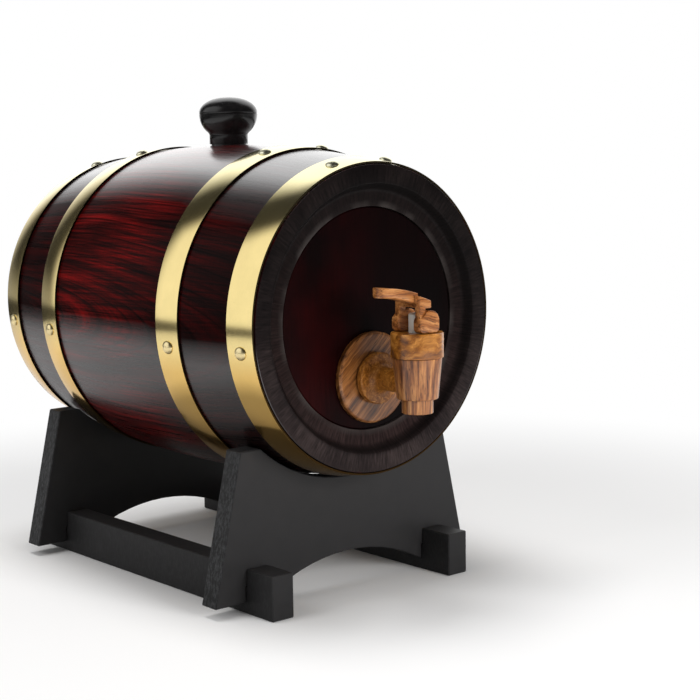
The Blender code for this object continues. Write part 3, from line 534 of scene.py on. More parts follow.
def chime_wood():
    """Stained end grain with fine radial saw marks, painted shade on the inner wall, painted rim highlights,
    painted light below.
    """
    dark, pale = (0.0075, 0.0050, 0.0050), (0.0165, 0.0115, 0.0110)
    ledge_tone, wall_shade_tone = (0.0095, 0.0048, 0.0044), (0.0025, 0.0018, 0.0018)
    rim_highlight_tone = (0.055, 0.047, 0.044)
    painted_light_boost = (2.2, 2.2, 2.2)
    shift = 0.1
    hair = 0.0001
    s = Shade("chime_wood", CASK_MIDDLE)
    x, _, z = s.parts(s.place)
    angle, reach = s.math("ARCTAN2", z, x), from_axis(s, x, z)
    marks = s.noise(s.stretched(s.join(angle, reach, 0.0), (80, 90, 1)), scale=1.0, detail=3, roughness=0.65)
    wide = s.noise(s.place, scale=34, detail=3, roughness=0.55)
    patches = s.noise(s.place, scale=60, detail=2, roughness=0.5)
    tone = s.mix(s.ramp(wide, (0.35, 0.0), (0.65, 1.0)), dark, pale)
    ledge_in, ledge_out = LIP_RADIUS + 38 * hair, WALL_RADIUS - 14 * hair
    ledge = s.ramp(reach, (ledge_in, 1.0), (ledge_out, 1.0), (WALL_RADIUS - 2 * hair, 0.0))
    tone = s.mix(s.product(ledge, 0.7), tone, ledge_tone)
    # Painted light: the end ring is painted brighter towards the bottom and darker towards the top
    low = s.ramp(s.total(z, shift), (0.035, 1.0), (0.135, 0.28))
    tone = s.mix(1.0, tone, s.vector("MULTIPLY", painted_light_boost, low), "MULTIPLY")
    wall_in, wall_out = WALL_RADIUS - 7 * hair, FLAT_RADIUS - 6 * hair
    # Painted shade: the wall inside the recess is painted near black all round
    painted_wall_shade = s.ramp(reach, (wall_in, 0.0), (WALL_RADIUS + hair, 1.0), (wall_out, 1.0), (FLAT_RADIUS, 0.0))
    tone = s.mix(s.product(painted_wall_shade, 0.8), tone, wall_shade_tone)
    colour = s.mix(0.85, tone, s.ramp(marks, (0.30, 0.25), (0.55, 1.0), (0.75, 1.9)), "MULTIPLY")
    # Painted highlights: thin pale lines along the lip, wall and flat rims, in patches
    lip_rim = s.ramp(reach, (LIP_RADIUS + hair, 1.0), (LIP_RADIUS + 4 * hair, 0.0))
    rim_in, rim_out = WALL_RADIUS - 3 * hair, WALL_RADIUS + hair
    wall_rim = s.ramp(reach, (rim_in, 0.0), (WALL_RADIUS - hair, 1.0), (rim_out, 0.0))
    flat_rim = s.ramp(reach, (FLAT_RADIUS - 2 * hair, 0.0), (FLAT_RADIUS, 0.8), (FLAT_RADIUS + 3 * hair, 0.0))
    painted_rim_highlights = s.math("MAXIMUM", s.math("MAXIMUM", lip_rim, wall_rim), flat_rim)
    rim_highlight_patches = s.ramp(patches, (0.40, 0.10), (0.62, 1.0))
    colour = s.mix(s.product(painted_rim_highlights, rim_highlight_patches), colour, rim_highlight_tone)
    rough = s.ramp(marks, (0.3, 0.55), (0.7, 0.42))
    normal = s.bump(marks, distance=0.00022, strength=0.6)
    return s.finish(colour, rough, normal=normal, specular_ior_level=0.10)


def head_wood():
    """Dark stained boards with upright grain and painted light: a faint red glow on one side."""
    ground, stain = (0.0020, 0.0011, 0.0012), (0.019, 0.0008, 0.0010)
    shift = 0.1
    s = Shade("head_wood", CASK_MIDDLE)
    x = s.parts(s.place)[0]
    fibre = s.noise(s.stretched(s.place, (1, 1, 0.05)), scale=700, detail=4, roughness=0.6)
    cloud = s.noise(s.stretched(s.place, (1, 1, 0.6)), scale=28, detail=3, roughness=0.5)
    # Painted light: the left side of the head is painted redder, in patches, as if lit
    side = s.ramp(s.total(x, shift), (0.045, 1.0), (0.072, 0.60), (0.110, 0.10))
    glow = s.product(s.ramp(cloud, (0.34, 0.10), (0.64, 1.0)), side)
    colour = s.mix(glow, ground, stain)
    colour = s.mix(0.6, colour, s.ramp(fibre, (0.32, 0.55), (0.68, 1.2)), "MULTIPLY")
    rough = s.ramp(fibre, (0.3, 0.45), (0.7, 0.34))
    normal = s.bump(fibre, distance=0.00012, strength=0.5)
    return s.finish(colour, rough, normal=normal, specular_ior_level=0.05)


def hoop_brass(name, colour, roughness):
    """Brass sheet with a faint rolled grain round the cask, and a painted reflection: deeper in tone below,
    paler on top.
    """
    low_tone, side_tone = (1.00, 0.74, 0.45), (1.00, 0.82, 0.60)
    even_tone, top_tone = (1.0, 1.0, 1.0), (1.02, 1.15, 1.50)
    haze_share, grain_swing = 0.93, 0.08
    s = Shade(name, CASK_MIDDLE)
    x, y, z = s.parts(s.place)
    angle, reach = s.math("ARCTAN2", z, x), from_axis(s, x, z)
    lines = s.noise(s.stretched(s.join(angle, y, 0.0), (3, 2600, 1)), scale=1.0, detail=3, roughness=0.6)
    haze = s.noise(s.place, scale=60, detail=4, roughness=0.6)
    # Painted reflection: the tint runs deeper below and paler on top, by height round the cask
    level = s.total(s.product(s.math("DIVIDE", z, reach), 0.5), 0.5)
    painted_reflection_tones = ((0.12, low_tone), (0.36, side_tone), (0.46, even_tone), (0.80, even_tone), (0.94, top_tone))
    tint = s.mix(s.ramp(haze, (0.35, 0.0), (0.7, 1.0)), colour, shaded(colour, haze_share))
    tint = s.mix(1.0, tint, s.ramp(level, *painted_reflection_tones), "MULTIPLY")
    rough = s.total(s.around(lines, grain_swing), roughness)
    return s.finish(tint, rough, normal=s.bump(lines, distance=0.00001, strength=0.35), metallic=1.0)


def black_paint(name, ends):
    """Satin black paint on board, with rough end grain on faces across the grain."""
    pore_dark, pore_pale = (0.0035, 0.0035, 0.0037), (0.050, 0.050, 0.053)
    flat_dark, flat_pale = (0.0240, 0.0232, 0.0236), (0.0310, 0.0298, 0.0305)
    s = Shade(name)
    normal_x = s.parts(s.add("ShaderNodeTexCoord").outputs["Normal"])[0]
    side = s.ramp(s.math("ABSOLUTE", normal_x), (0.55, 0.0), (0.80, ends))
    pores = s.noise(s.stretched(s.place, (1, 1, 0.45)), scale=620, detail=5, roughness=0.7)
    mottle = s.noise(s.place, scale=85, detail=4, roughness=0.6)
    fine = s.noise(s.place, scale=1500, detail=2, roughness=0.5)
    end_colour = s.mix(s.ramp(pores, (0.44, 0.0), (0.66, 1.0)), pore_dark, pore_pale)
    flat_colour = s.mix(s.ramp(mottle, (0.3, 0.0), (0.7, 1.0)), flat_dark, flat_pale)
    colour = s.mix(side, flat_colour, end_colour)
    height = s.total(s.product(pores, side), s.product(fine, 0.10))
    rough = s.ramp(mottle, (0.3, 0.50), (0.7, 0.60))
    normal = s.bump(height, distance=0.0003, strength=0.7)
    return s.finish(colour, rough, normal=normal, specular_ior_level=0.35)


def bung_gloss():
    """Black gloss lacquer with faint dust and turning lines."""
    black, dusty = (0.0045, 0.0042, 0.0045), (0.010, 0.0085, 0.0085)
    s = Shade("bung_gloss", (0, CASK_MIDDLE.y, 0))
    dust = s.noise(s.place, scale=240, detail=4, roughness=0.6)
    lines = s.noise(s.stretched(s.place, (1, 1, 40)), scale=30, detail=2, roughness=0.5)
    colour = s.mix(s.ramp(dust, (0.4, 0.0), (0.75, 1.0)), black, dusty)
    rough = s.ramp(dust, (0.3, 0.16), (0.7, 0.24))
    return s.finish(colour, rough, normal=s.bump(lines, distance=0.00002, strength=0.4), ior=1.5)


def wood_print(name, rotation, colours, pitch, stretch, warp, swirl=0.0, burl=0.0, veins=0.85, coat=0.35):
    """A printed wood pattern on the tap: wide bands and thin dark lines along the turned Z axis.

    The pitch sets how wide the bands are, warp and swirl how far they bend, and burl how many knots show.
    """
    dark, mid, pale = colours
    line_tone = shaded(dark, 0.65)
    s = Shade(name, TAP_AXIS)
    base = s.turned(s.place, rotation)
    slow = s.noise(base, scale=95, detail=2, roughness=0.5)
    x, y, z = s.parts(base)
    bend = s.around(slow, warp)
    across = s.total(x, bend, s.product(z, z, swirl))
    deep = s.total(y, bend)
    spot = s.join(across, deep, s.product(z, stretch))
    bands = s.noise(spot, scale=0.55 / pitch, detail=3, roughness=0.55)
    lines = s.noise(s.stretched(spot, (1, 1, 0.6)), scale=2.1 / pitch, detail=2, roughness=0.5)
    fibre = s.noise(s.stretched(spot, (1, 1, 1.6)), scale=5.5 / pitch, detail=3, roughness=0.6)
    colour = s.ramp(bands, (0.31, dark), (0.46, mid), (0.66, pale))
    colour = s.mix(s.ramp(lines, (0.34, veins), (0.44, 0.0)), colour, line_tone)
    colour = s.mix(0.55, colour, s.ramp(fibre, (0.30, 0.62), (0.66, 1.10)), "MULTIPLY")
    if burl:
        knots = s.noise(base, scale=380, detail=4, roughness=0.6, distortion=1.4)
        colour = s.mix(burl, colour, s.ramp(knots, (0.32, dark), (0.50, mid), (0.66, pale)))
    return s.finish(
        colour,
        s.ramp(fibre, (0.3, 0.42), (0.7, 0.32)),
        normal=s.bump(fibre, distance=0.00003, strength=0.35),
        ior=1.46,
        coat_weight=coat,
        coat_ior=1.6,
        coat_roughness=0.12,
    )


def plain(name, colour, roughness, variation, scale=300, metallic=0.0):
    """A moulded or drawn material with slight variation of tone and roughness."""
    s = Shade(name)
    speck = s.noise(s.place, scale, detail=4, roughness=0.6)
    tone = s.mix(s.ramp(speck, (0.3, 0.0), (0.7, 1.0)), shaded(colour, 1 - variation), colour)
    rough = s.ramp(speck, (0.3, roughness * 1.15), (0.7, roughness * 0.9))
    return s.finish(tone, rough, normal=s.bump(speck, distance=0.00003, strength=0.4), metallic=metallic)


CASK_WOOD = cask_lacquer()
CHIME_WOOD = chime_wood()
HEAD_WOOD = head_wood()
BRASS = hoop_brass("hoop_brass", (0.92, 0.74, 0.33), 0.145)
DARK_EDGE = hoop_brass("hoop_edge", (0.060, 0.042, 0.018), 0.45)
RIVET_BRASS = hoop_brass("rivet_brass", (0.93, 0.80, 0.46), 0.30)
PANEL_PAINT = black_paint("panel_paint", 1.0)
RAIL_PAINT = black_paint("rail_paint", 0.25)
GLOSS = bung_gloss()

TAN = ((0.060, 0.018, 0.004), (0.200, 0.068, 0.015), (0.420, 0.175, 0.052))
GOLD = ((0.100, 0.028, 0.003), (0.310, 0.102, 0.010), (0.600, 0.255, 0.050))
ORANGE = ((0.110, 0.032, 0.008), (0.350, 0.118, 0.028), (0.620, 0.270, 0.088))
STRIPED = ((0.085, 0.026, 0.010), (0.290, 0.100, 0.029), (0.600, 0.262, 0.082))
ROSETTE_PRINT = wood_print(
    "rosette_print", (0, math.radians(-48), 0), TAN, pitch=0.0017, stretch=0.04, warp=0.002
)
BODY_PRINT = wood_print("body_print", (0, 0, 0.4), STRIPED, pitch=0.0014, stretch=0.04, warp=0.001)
NECK_PRINT = wood_print(
    "neck_print", (0, 0, 0), GOLD, pitch=0.0040, stretch=0.4, warp=0.004, burl=0.75, veins=0.3, coat=0.0
)
CAP_PRINT = wood_print(
    "cap_print", (0, math.radians(72), 0.2), GOLD, pitch=0.0027, stretch=0.14, warp=0.012, swirl=32.0,
    veins=0.2
)
LEVER_PRINT = wood_print(
    "lever_print", (0, math.radians(32), 0), ORANGE, pitch=0.0017, stretch=0.10, warp=0.004, swirl=14.0
)
NUT_PRINT = wood_print("nut_print", (QUARTER, 0, 0), GOLD, pitch=0.0030, stretch=0.2, warp=0.003)
STEM_PLASTIC = plain("stem_plastic", (0.78, 0.75, 0.68), 0.38, 0.06)
RUBBER = plain("seal_rubber", (0.045, 0.045, 0.045), 0.70, 0.2)
STEEL = plain("spring_steel", (0.58, 0.58, 0.57), 0.30, 0.1, scale=900, metallic=1.0)


# Cask


def stave_outline():
    """The section of a stave along the cask, with its small corners eased."""
    barrel_steps, bore_steps, ease_steps = 28, 12, 4
    edge, flat_ease, wall_ease, lip_ease = 0.0006, 0.0005, 0.0016, 0.0002
    edge_shares = ((-1 / 20, 1), (1 / 6, 1 / 4), (1, 0))
    chime = [
        (CASK_END_RADIUS, CASK_HALF),
        (FLAT_RADIUS, CASK_HALF),
        (WALL_RADIUS, CASK_HALF - CHIME_WALL_DEPTH),
        (LIP_RADIUS, CASK_HALF - LIP_DEPTH),
        (LIP_RADIUS, CASK_HALF - CROZE_START),
        (CROZE_RADIUS, CASK_HALF - CROZE_START),
        (CROZE_RADIUS, CASK_HALF - CROZE_END),
        (LIP_RADIUS, CASK_HALF - CROZE_END),
    ]
    outer_edge = [(CASK_END_RADIUS - edge * inward, CASK_HALF - edge * low) for inward, low in edge_shares]
    ends = outer_edge + rounded(chime, {1: flat_ease, 2: wall_ease, 3: lip_ease}, ease_steps)[1:]
    heights = [CASK_HALF * step / barrel_steps for step in range(1 - barrel_steps, barrel_steps)]
    outer = [(cask_radius(y), y) for y in heights]
    bore = []
    for step in range(1, bore_steps):
        share = 1 - 2 * step / bore_steps
        bore.append((BORE_RADIUS - (BORE_RADIUS - LIP_RADIUS) * share ** 2, (CASK_HALF - CROZE_END) * share))
    rear = [(radius, -y) for radius, y in reversed(ends)]
    return outer + ends + bore + rear


def set_barrel_normals(mesh):
    """Exact normals for the bent outer face, so that a gloss runs on from stave to stave."""
    tolerance = 2e-6
    normals = [(0.0, 0.0, 0.0)] * len(mesh.loops)
    for face in mesh.polygons:
        spots = [mesh.vertices[mesh.loops[i].vertex_index].co - CASK_MIDDLE for i in face.loop_indices]
        reaches = [math.hypot(p.x, p.z) for p in spots]
        if any(abs(reach - cask_radius(p.y)) > tolerance for reach, p in zip(reaches, spots)):
            continue
        for i, reach, p in zip(face.loop_indices, reaches, spots):
            slope = 2 * (CASK_BULGE_RADIUS - CASK_END_RADIUS) * p.y / CASK_HALF ** 2
            normals[i] = tuple(Vector((p.x / reach, slope, p.z / reach)).normalized())
    mesh.normals_split_custom_set(normals)


def mark_chime(mesh):
    """The second material goes on the faces outside the barrel's bent outer face."""
    skin, end_skin = 0.0004, 0.00005
    for face in mesh.polygons:
        spot = face.center - CASK_MIDDLE
        outer = math.hypot(spot.x, spot.z) > cask_radius(spot.y) - skin and abs(spot.y) < CASK_HALF - end_skin
        face.material_index = 0 if outer else 1


def build_staves():
    outline = stave_outline()
    columns = 14
    pitch = math.tau / STAVE_COUNT
    span = pitch - SEAM / CASK_BULGE_RADIUS
    hole = [
        (0, -BUNG_HOLE_DEPTH),
        (BUNG_HOLE_TIP_RADIUS, -BUNG_HOLE_DEPTH),
        (BUNG_HOLE_TOP_RADIUS, CUT_OVERRUN),
        (0, CUT_OVERRUN),
    ]
    for index in range(STAVE_COUNT):
        bm = sector(outline, QUARTER + pitch * index - span / 2, span, columns)
        bmesh.ops.recalc_face_normals(bm, faces=bm.faces)
        bmesh.ops.transform(bm, matrix=ON_CASK, verts=bm.verts)
        name = f"stave_{index + 1:02d}"
        if index == 0:
            cutter = turned(hole, BORE_SIDES)
            bmesh.ops.transform(cutter, matrix=bung_place(), verts=cutter.verts)
            mesh = carved(bm, ("DIFFERENCE", cutter))
        else:
            mesh = mesh_of(bm, name)
        mark_chime(mesh)
        set_barrel_normals(mesh)
        build(f"fine_{name}", mesh, [CASK_WOOD, CHIME_WOOD], "cask", name)


def build_heads():
    edge = LIP_RADIUS - FIT_GAP
    face = CASK_HALF - LIP_DEPTH - HEAD_BELOW_LIP
    back = face - HEAD_THICKNESS
    back_chamfer, face_chamfer = 0.0008, 0.0007
    back_ease, face_ease = 0.0004, 0.0003
    tongue = CROZE_RADIUS - FIT_GAP
    tongue_low, tongue_high = CASK_HALF - CROZE_END + FIT_GAP, CASK_HALF - CROZE_START - FIT_GAP
    outline = [
        (0, back),
        (edge - back_chamfer, back),
        (edge, back + back_chamfer),
        (edge, tongue_low),
        (tongue, tongue_low),
        (tongue, tongue_high),
        (edge, tongue_high),
        (edge, face - face_chamfer),
        (edge - face_chamfer, face),
        (0, face),
    ]
    outline = rounded(outline, {1: back_ease, 2: back_ease, 7: face_ease, 8: face_ease}, 3)
    low, high = back - CUT_OVERRUN, face + CUT_OVERRUN
    hole = [(0, low), (TAP_HOLE_RADIUS, low), (TAP_HOLE_RADIUS, high), (0, high)]
    for name, facing in (("head_front", 1), ("head_rear", -1)):
        bm = turned([(radius, facing * y) for radius, y in outline], HEAD_SIDES)
        if facing == 1:
            cutter = turned(hole, SMALL_SIDES)
            bmesh.ops.translate(cutter, verts=cutter.verts, vec=(0, TAP_AXIS.z - CASK_MIDDLE.z, 0))
            mesh = carved(bm, ("DIFFERENCE", cutter), matrix=ON_CASK)
        else:
            mesh = mesh_of(bm, name, matrix=ON_CASK)
        build(f"fine_{name}", mesh, [HEAD_WOOD], "cask", name)


def rivet_dome():
    """A domed rivet head, with a short shank that sinks into the hoop."""
    steps = 9
    profile = [(RIVET_RADIUS, -RIVET_SINK)]
    for step in range(steps):
        angle = QUARTER * step / steps
        profile.append((RIVET_RADIUS * math.cos(angle), RIVET_HEIGHT * math.sin(angle)))
    profile.append((0, RIVET_HEIGHT))
    return turned(profile, RIVET_SIDES)


def add_rivet(bm, place):
    """Copies a dome into the hoop's mesh, with the second material."""
    dome = rivet_dome()
    bmesh.ops.transform(dome, matrix=place, verts=dome.verts)
    for face in dome.faces:
        face.material_index = 1
    mesh = saved(dome, "dome")
    bm.from_mesh(mesh)
    bpy.data.meshes.remove(mesh)


def build_hoops():
    edge = 0.0002
    edge_normal = 0.45
    insets = (
        ("hoop_front_end", HOOP_END_INSET, 1),
        ("hoop_front_body", HOOP_BODY_INSET, 1),
        ("hoop_rear_body", HOOP_BODY_INSET, -1),
        ("hoop_rear_end", HOOP_END_INSET, -1),
    )
    for name, inset, facing in insets:
        near, far = sorted(facing * (CASK_HALF - inset - width) for width in (0, HOOP_WIDTH))
        inner = [(cask_radius(near) + FIT_GAP, near), (cask_radius(far) + FIT_GAP, far)]
        outer = [(radius + HOOP_THICKNESS, y) for radius, y in reversed(inner)]
        outline = rounded(inner + outer, {corner: edge for corner in range(4)}, 3)
        bm = turned(outline, HOOP_SIDES, True)
        bmesh.ops.recalc_face_normals(bm, faces=bm.faces)
        for face in bm.faces:
            face.material_index = 2 if abs(face.normal.z) > edge_normal else 0
        centre = (near + far) / 2
        radius = cask_radius(centre) + FIT_GAP + HOOP_THICKNESS
        lean = math.atan((inner[0][0] - inner[1][0]) / (far - near))
        for degrees in RIVET_ANGLES:
            place = Matrix.Rotation(math.radians(degrees), 4, "Z") @ Matrix.Translation((radius, 0, centre))
            add_rivet(bm, place @ Matrix.Rotation(QUARTER - lean, 4, "Y"))
        mesh = mesh_of(bm, name, matrix=ON_CASK)
        build(f"fine_{name}", mesh, [BRASS, RIVET_BRASS, DARK_EDGE], "cask", name)


def build_bung():
    """The tapered plug, the flared skirt and the domed knob, turned as one."""
    dome_steps, dome_power = 13, 0.88
    skirt_sharp = math.radians(50)
    profile = [
        (0, -BUNG_PLUG_LENGTH),
        (BUNG_PLUG_TIP_RADIUS - BUNG_PLUG_CHAMFER, -BUNG_PLUG_LENGTH),
        (BUNG_PLUG_TIP_RADIUS, BUNG_PLUG_CHAMFER - BUNG_PLUG_LENGTH),
        (BUNG_PLUG_TOP_RADIUS, BUNG_GROOVE),
        (BUNG_NECK_RADIUS - BUNG_GROOVE, BUNG_GROOVE),
        (BUNG_NECK_RADIUS, 2 * BUNG_GROOVE),
    ]
    flare, fall = BUNG_KNOB_RADIUS - BUNG_NECK_RADIUS, BUNG_WAIST_HEIGHT - BUNG_NECK_HEIGHT
    for out, down in BUNG_SKIRT_SHARES:
        profile.append((BUNG_NECK_RADIUS + flare * out, BUNG_WAIST_HEIGHT - fall * down))
    dome_low = BUNG_WAIST_HEIGHT + BUNG_KNOB_EASE
    profile += [
        (BUNG_KNOB_RADIUS - BUNG_KNOB_EASE * 2 / 3, BUNG_WAIST_HEIGHT + BUNG_KNOB_EASE / 3),
        (BUNG_KNOB_RADIUS - BUNG_KNOB_EASE / 6, dome_low),
    ]
    for step in range(1, dome_steps):
        angle = QUARTER * step / dome_steps
        radius = BUNG_KNOB_RADIUS * math.cos(angle) ** dome_power
        profile.append((radius, dome_low + (BUNG_KNOB_HEIGHT - dome_low) * math.sin(angle)))
    profile.append((0, BUNG_KNOB_HEIGHT))
    mesh = mesh_of(turned(profile, TAP_SIDES), "bung", skirt_sharp, bung_place())
    build("fine_bung", mesh, [GLOSS], "bung", "bung")


# Tap


def build_rosette():
    edge_ease, back_ease = 0.0006, 0.0002
    profile = [
        (TAP_HOLE_RADIUS, 0.0),
        (ROSETTE_RADIUS - ROSETTE_EDGE, 0.0),
        (ROSETTE_RADIUS, -ROSETTE_EDGE),
        (ROSETTE_RADIUS, -ROSETTE_THICKNESS),
        (TAP_HOLE_RADIUS, -ROSETTE_THICKNESS),
    ]
    profile = rounded(profile, {1: edge_ease, 2: edge_ease, 3: back_ease}, 4)
    face = TAP_REACH - FIT_GAP - ROSETTE_THICKNESS
    place = tap_place() @ FRONTWARD @ Matrix.Translation((0, 0, -face))
    mesh = mesh_of(turned(profile, ROSETTE_SIDES, True), "rosette", matrix=place)
    build("fine_rosette", mesh, [ROSETTE_PRINT], "cask", "tap_rosette")


def body_profile(tip):
    """The valve chamber's outside with the spout below it."""
    tip_ease, notch_ease, foot_ease, seam_ease = 0.0005, 0.0003, 0.0009, 0.0002
    foot_radius = BODY_SEAM_RADIUS - BODY_TAPER
    profile = [
        (0, tip),
        (SPOUT_RADIUS, tip),
        (SPOUT_RADIUS, BODY_FOOT_HEIGHT),
        (foot_radius, BODY_FOOT_HEIGHT),
        (BODY_SEAM_RADIUS, BODY_SEAM_HEIGHT),
        (BODY_RIM_RADIUS, BODY_SEAM_HEIGHT),
        (BODY_RIM_RADIUS, BODY_RIM_HEIGHT),
        (0, BODY_RIM_HEIGHT),
    ]
    return rounded(profile, {1: tip_ease, 2: notch_ease, 3: foot_ease, 4: seam_ease}, 4)


def neck_profile(end):
    """The spigot, the collar and the neck that flares into it."""
    flare_steps = 6
    back_ease, face_ease = 0.0002, 0.0012
    back = TAP_REACH - ROSETTE_THICKNESS - GASKET_THICKNESS - 3 * FIT_GAP
    face = back - COLLAR_THICKNESS
    profile = [
        (0, -end),
        (SPIGOT_RADIUS, -end),
        (SPIGOT_RADIUS, -back),
        (COLLAR_RADIUS, -back),
        (COLLAR_RADIUS, -face),
    ]
    for step in range(flare_steps + 1):
        angle = QUARTER * step / flare_steps
        flared = NECK_RADIUS + NECK_FLARE * (1 - math.sin(angle))
        profile.append((flared, -face + NECK_FLARE * (1 - math.cos(angle))))
    profile += [(NECK_RADIUS, -NECK_ROOT), (0, -NECK_ROOT)]
    return rounded(profile, {3: back_ease, 4: face_ease}, 4)


def build_body():
    neck_start, beside, beyond = 0.004, 0.0002, 0.0006
    tip = BODY_FOOT_HEIGHT - SPOUT_LENGTH
    end = TAP_REACH + HEAD_THICKNESS + GASKET_THICKNESS + NUT_THICKNESS + SPIGOT_END + 2 * FIT_GAP
    spout_bore, chamber_bore = SPOUT_RADIUS - SPOUT_WALL, BODY_RIM_RADIUS - BODY_WALL
    chamber_top = BODY_RIM_HEIGHT + CUT_OVERRUN
    neck = turned(neck_profile(end), TAP_SIDES)
    chamber = turned(
        [
            (0, tip - CUT_OVERRUN),
            (spout_bore, tip - CUT_OVERRUN),
            (spout_bore, SEAT_HEIGHT),
            (chamber_bore, SEAT_HEIGHT),
            (chamber_bore, chamber_top),
            (0, chamber_top),
        ],
        BORE_SIDES,
    )
    far_end = -end - CUT_OVERRUN
    inlet = turned([(0, far_end), (INLET_BORE, far_end), (INLET_BORE, 0), (0, 0)], SMALL_SIDES)
    for bm in (neck, inlet):
        bmesh.ops.transform(bm, matrix=FRONTWARD, verts=bm.verts)
    body = turned(body_profile(tip), TAP_SIDES)
    mesh = carved(body, ("UNION", neck), ("DIFFERENCE", chamber), ("DIFFERENCE", inlet), matrix=tap_place())
    for face in mesh.polygons:
        spot = face.center - TAP_AXIS
        off_body = math.hypot(spot.x, spot.y) > BODY_SEAM_RADIUS + beside
        on_neck = spot.y > neck_start and off_body or spot.y > BODY_SEAM_RADIUS + beyond
        face.material_index = 1 if on_neck else 0
    build("fine_tap_body", mesh, [BODY_PRINT, NECK_PRINT], "cask", "tap_body")


def build_cap():
    bottom_ease, top_ease, hole_ease = 0.0002, 0.0009, 0.0002
    stem_hole = STEM_RADIUS + FIT_GAP
    bottom = BODY_SEAM_HEIGHT + FIT_GAP
    profile = [
        (CAP_BORE, bottom),
        (CAP_RADIUS, bottom),
        (CAP_RADIUS, CAP_TOP_HEIGHT),
        (stem_hole, CAP_TOP_HEIGHT),
        (stem_hole, CAP_UNDERSIDE),
        (CAP_BORE, CAP_UNDERSIDE),
    ]
    profile = rounded(profile, {1: bottom_ease, 2: top_ease, 3: hole_ease}, 5)
    mesh = mesh_of(turned(profile, TAP_SIDES, True), "cap", matrix=tap_place())
    build("fine_tap_cap", mesh, [CAP_PRINT], "cask", "tap_cap")


def foot_outline():
    """A cam foot about the pin: a flat sole, two round corners, a round front and a small shoulder."""
    corner_height = FOOT_SOLE + FOOT_CORNER
    outline = arc((FOOT_CORNER - FOOT_REAR, corner_height), FOOT_CORNER, math.pi, QUARTER * 3, 10)
    outline += arc((FOOT_FRONT - FOOT_CORNER, corner_height), FOOT_CORNER, -QUARTER, 0, 10)
    outline += arc((0, 0), FOOT_FRONT, 0, QUARTER + QUARTER / 3, 24)
    outline += [(FOOT_SHOULDER * out - FOOT_REAR, FOOT_SHOULDER * up) for out, up in FOOT_SHOULDER_SHARES]
    return outline


def paddle_ring(x, half_width, ease=1.0):
    """A section across the paddle with round corners, narrower ones where the end is round."""
    top_corner, bottom_corner, corner_steps = 0.0007, 0.0018, 4
    share = (-PADDLE_ROOT - x) / (PADDLE_TIP - PADDLE_ROOT)
    top = PADDLE_ROOT_TOP + PADDLE_RISE * share + PADDLE_BOW * share * (1 - share)
    bottom = top - PADDLE_ROOT_THICKNESS - (PADDLE_TIP_THICKNESS - PADDLE_ROOT_THICKNESS) * share
    upper, lower = [], []
    for step in range(corner_steps + 1):
        angle = QUARTER * step / corner_steps
        inward, along = 1 - math.sin(angle), 1 - math.cos(angle)
        upper.append((half_width - top_corner * ease * inward, top - top_corner * along))
        lower.append((half_width - bottom_corner * ease * along, bottom + bottom_corner * inward))
    side = upper + lower
    return [(x, y, z) for y, z in side] + [(x, -y, z) for y, z in reversed(side)]


def paddle():
    """The lever's bowed paddle, from the yoke to its round end."""
    steps, round_steps, last_width = 12, 11.4, 0.08
    centre = PADDLE_HALF_WIDTH - PADDLE_TIP
    rings = []
    for step in range(steps):
        rings.append(paddle_ring((centre + PADDLE_ROOT) * step / steps - PADDLE_ROOT, PADDLE_HALF_WIDTH))
    for step in range(steps):
        angle = QUARTER * step / round_steps
        ease = max(math.cos(angle), last_width)
        x = centre - PADDLE_HALF_WIDTH * math.sin(angle)
        rings.append(paddle_ring(x, PADDLE_HALF_WIDTH * ease, ease))
    bm = bmesh.new()
    rows = [[bm.verts.new(point) for point in ring] for ring in rings]
    for row, after in zip(rows, rows[1:]):
        for index in range(len(row)):
            follow = (index + 1) % len(row)
            bm.faces.new((row[index], row[follow], after[follow], after[index]))
    bm.faces.new(rows[0])
    bm.faces.new(rows[-1])
    return bm


def build_lever():
    yoke_edge, foot_edge = 0.0007, 0.0005
    inner = STEM_RADIUS + STEM_SIDE_GAP
    outer = inner + FOOT_THICKNESS
    bridge = [
        (-ARM_REAR, ARM_BOTTOM),
        (ARM_BREADTH - ARM_REAR, ARM_BOTTOM),
        (ARM_BREADTH - ARM_REAR, YOKE_BOTTOM),
        (YOKE_FRONT, YOKE_BOTTOM),
        (YOKE_FRONT, YOKE_TOP - YOKE_SLOPE),
        (-ARM_REAR, YOKE_TOP),
    ]
    yoke = bevelled(prism(bridge, ARM_OUTER_SET - outer, outer - ARM_OUTER_SET), yoke_edge)
    rear, front = -ARM_REAR - CUT_OVERRUN, YOKE_FRONT + CUT_OVERRUN
    low, high = ARM_BOTTOM - CUT_OVERRUN, YOKE_BOTTOM + YOKE_SLOT_RISE
    slot_half = inner + ARM_INNER_SET
    slot = prism([(rear, low), (front, low), (front, high), (rear, high)], -slot_half, slot_half)
    sides = ((-outer, -inner), (inner, outer))
    feet = [bevelled(prism(foot_outline(), near, far), foot_edge) for near, far in sides]
    hole_radius, hole_end = PIN_RADIUS + PIN_GAP, outer + CUT_OVERRUN
    hole_profile = [(0, -hole_end), (hole_radius, -hole_end), (hole_radius, hole_end), (0, hole_end)]
    hole = turned(hole_profile, PIN_SIDES)
    bmesh.ops.transform(hole, matrix=FRONTWARD, verts=hole.verts)
    joined = [("UNION", bm) for bm in (*feet, paddle())]
    mesh = carved(yoke, ("DIFFERENCE", slot), *joined, ("DIFFERENCE", hole), matrix=tap_place(PIN_HEIGHT))
    build("fine_tap_lever", mesh, [LEVER_PRINT], "lever", "tap_lever")


# CAD meshes that serve again


def dress(node, material):
    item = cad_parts[node]
    item.data.materials.clear()
    item.data.materials.append(material)


def build_squeezed(node, material):
    """A copy of a node between the cap and the stem, which is squeezed as the stem rises."""
    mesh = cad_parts[node].data.copy()
    mesh.materials.clear()
    item = build(f"fine_{node}", mesh, [material], "cask", node)
    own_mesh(item)


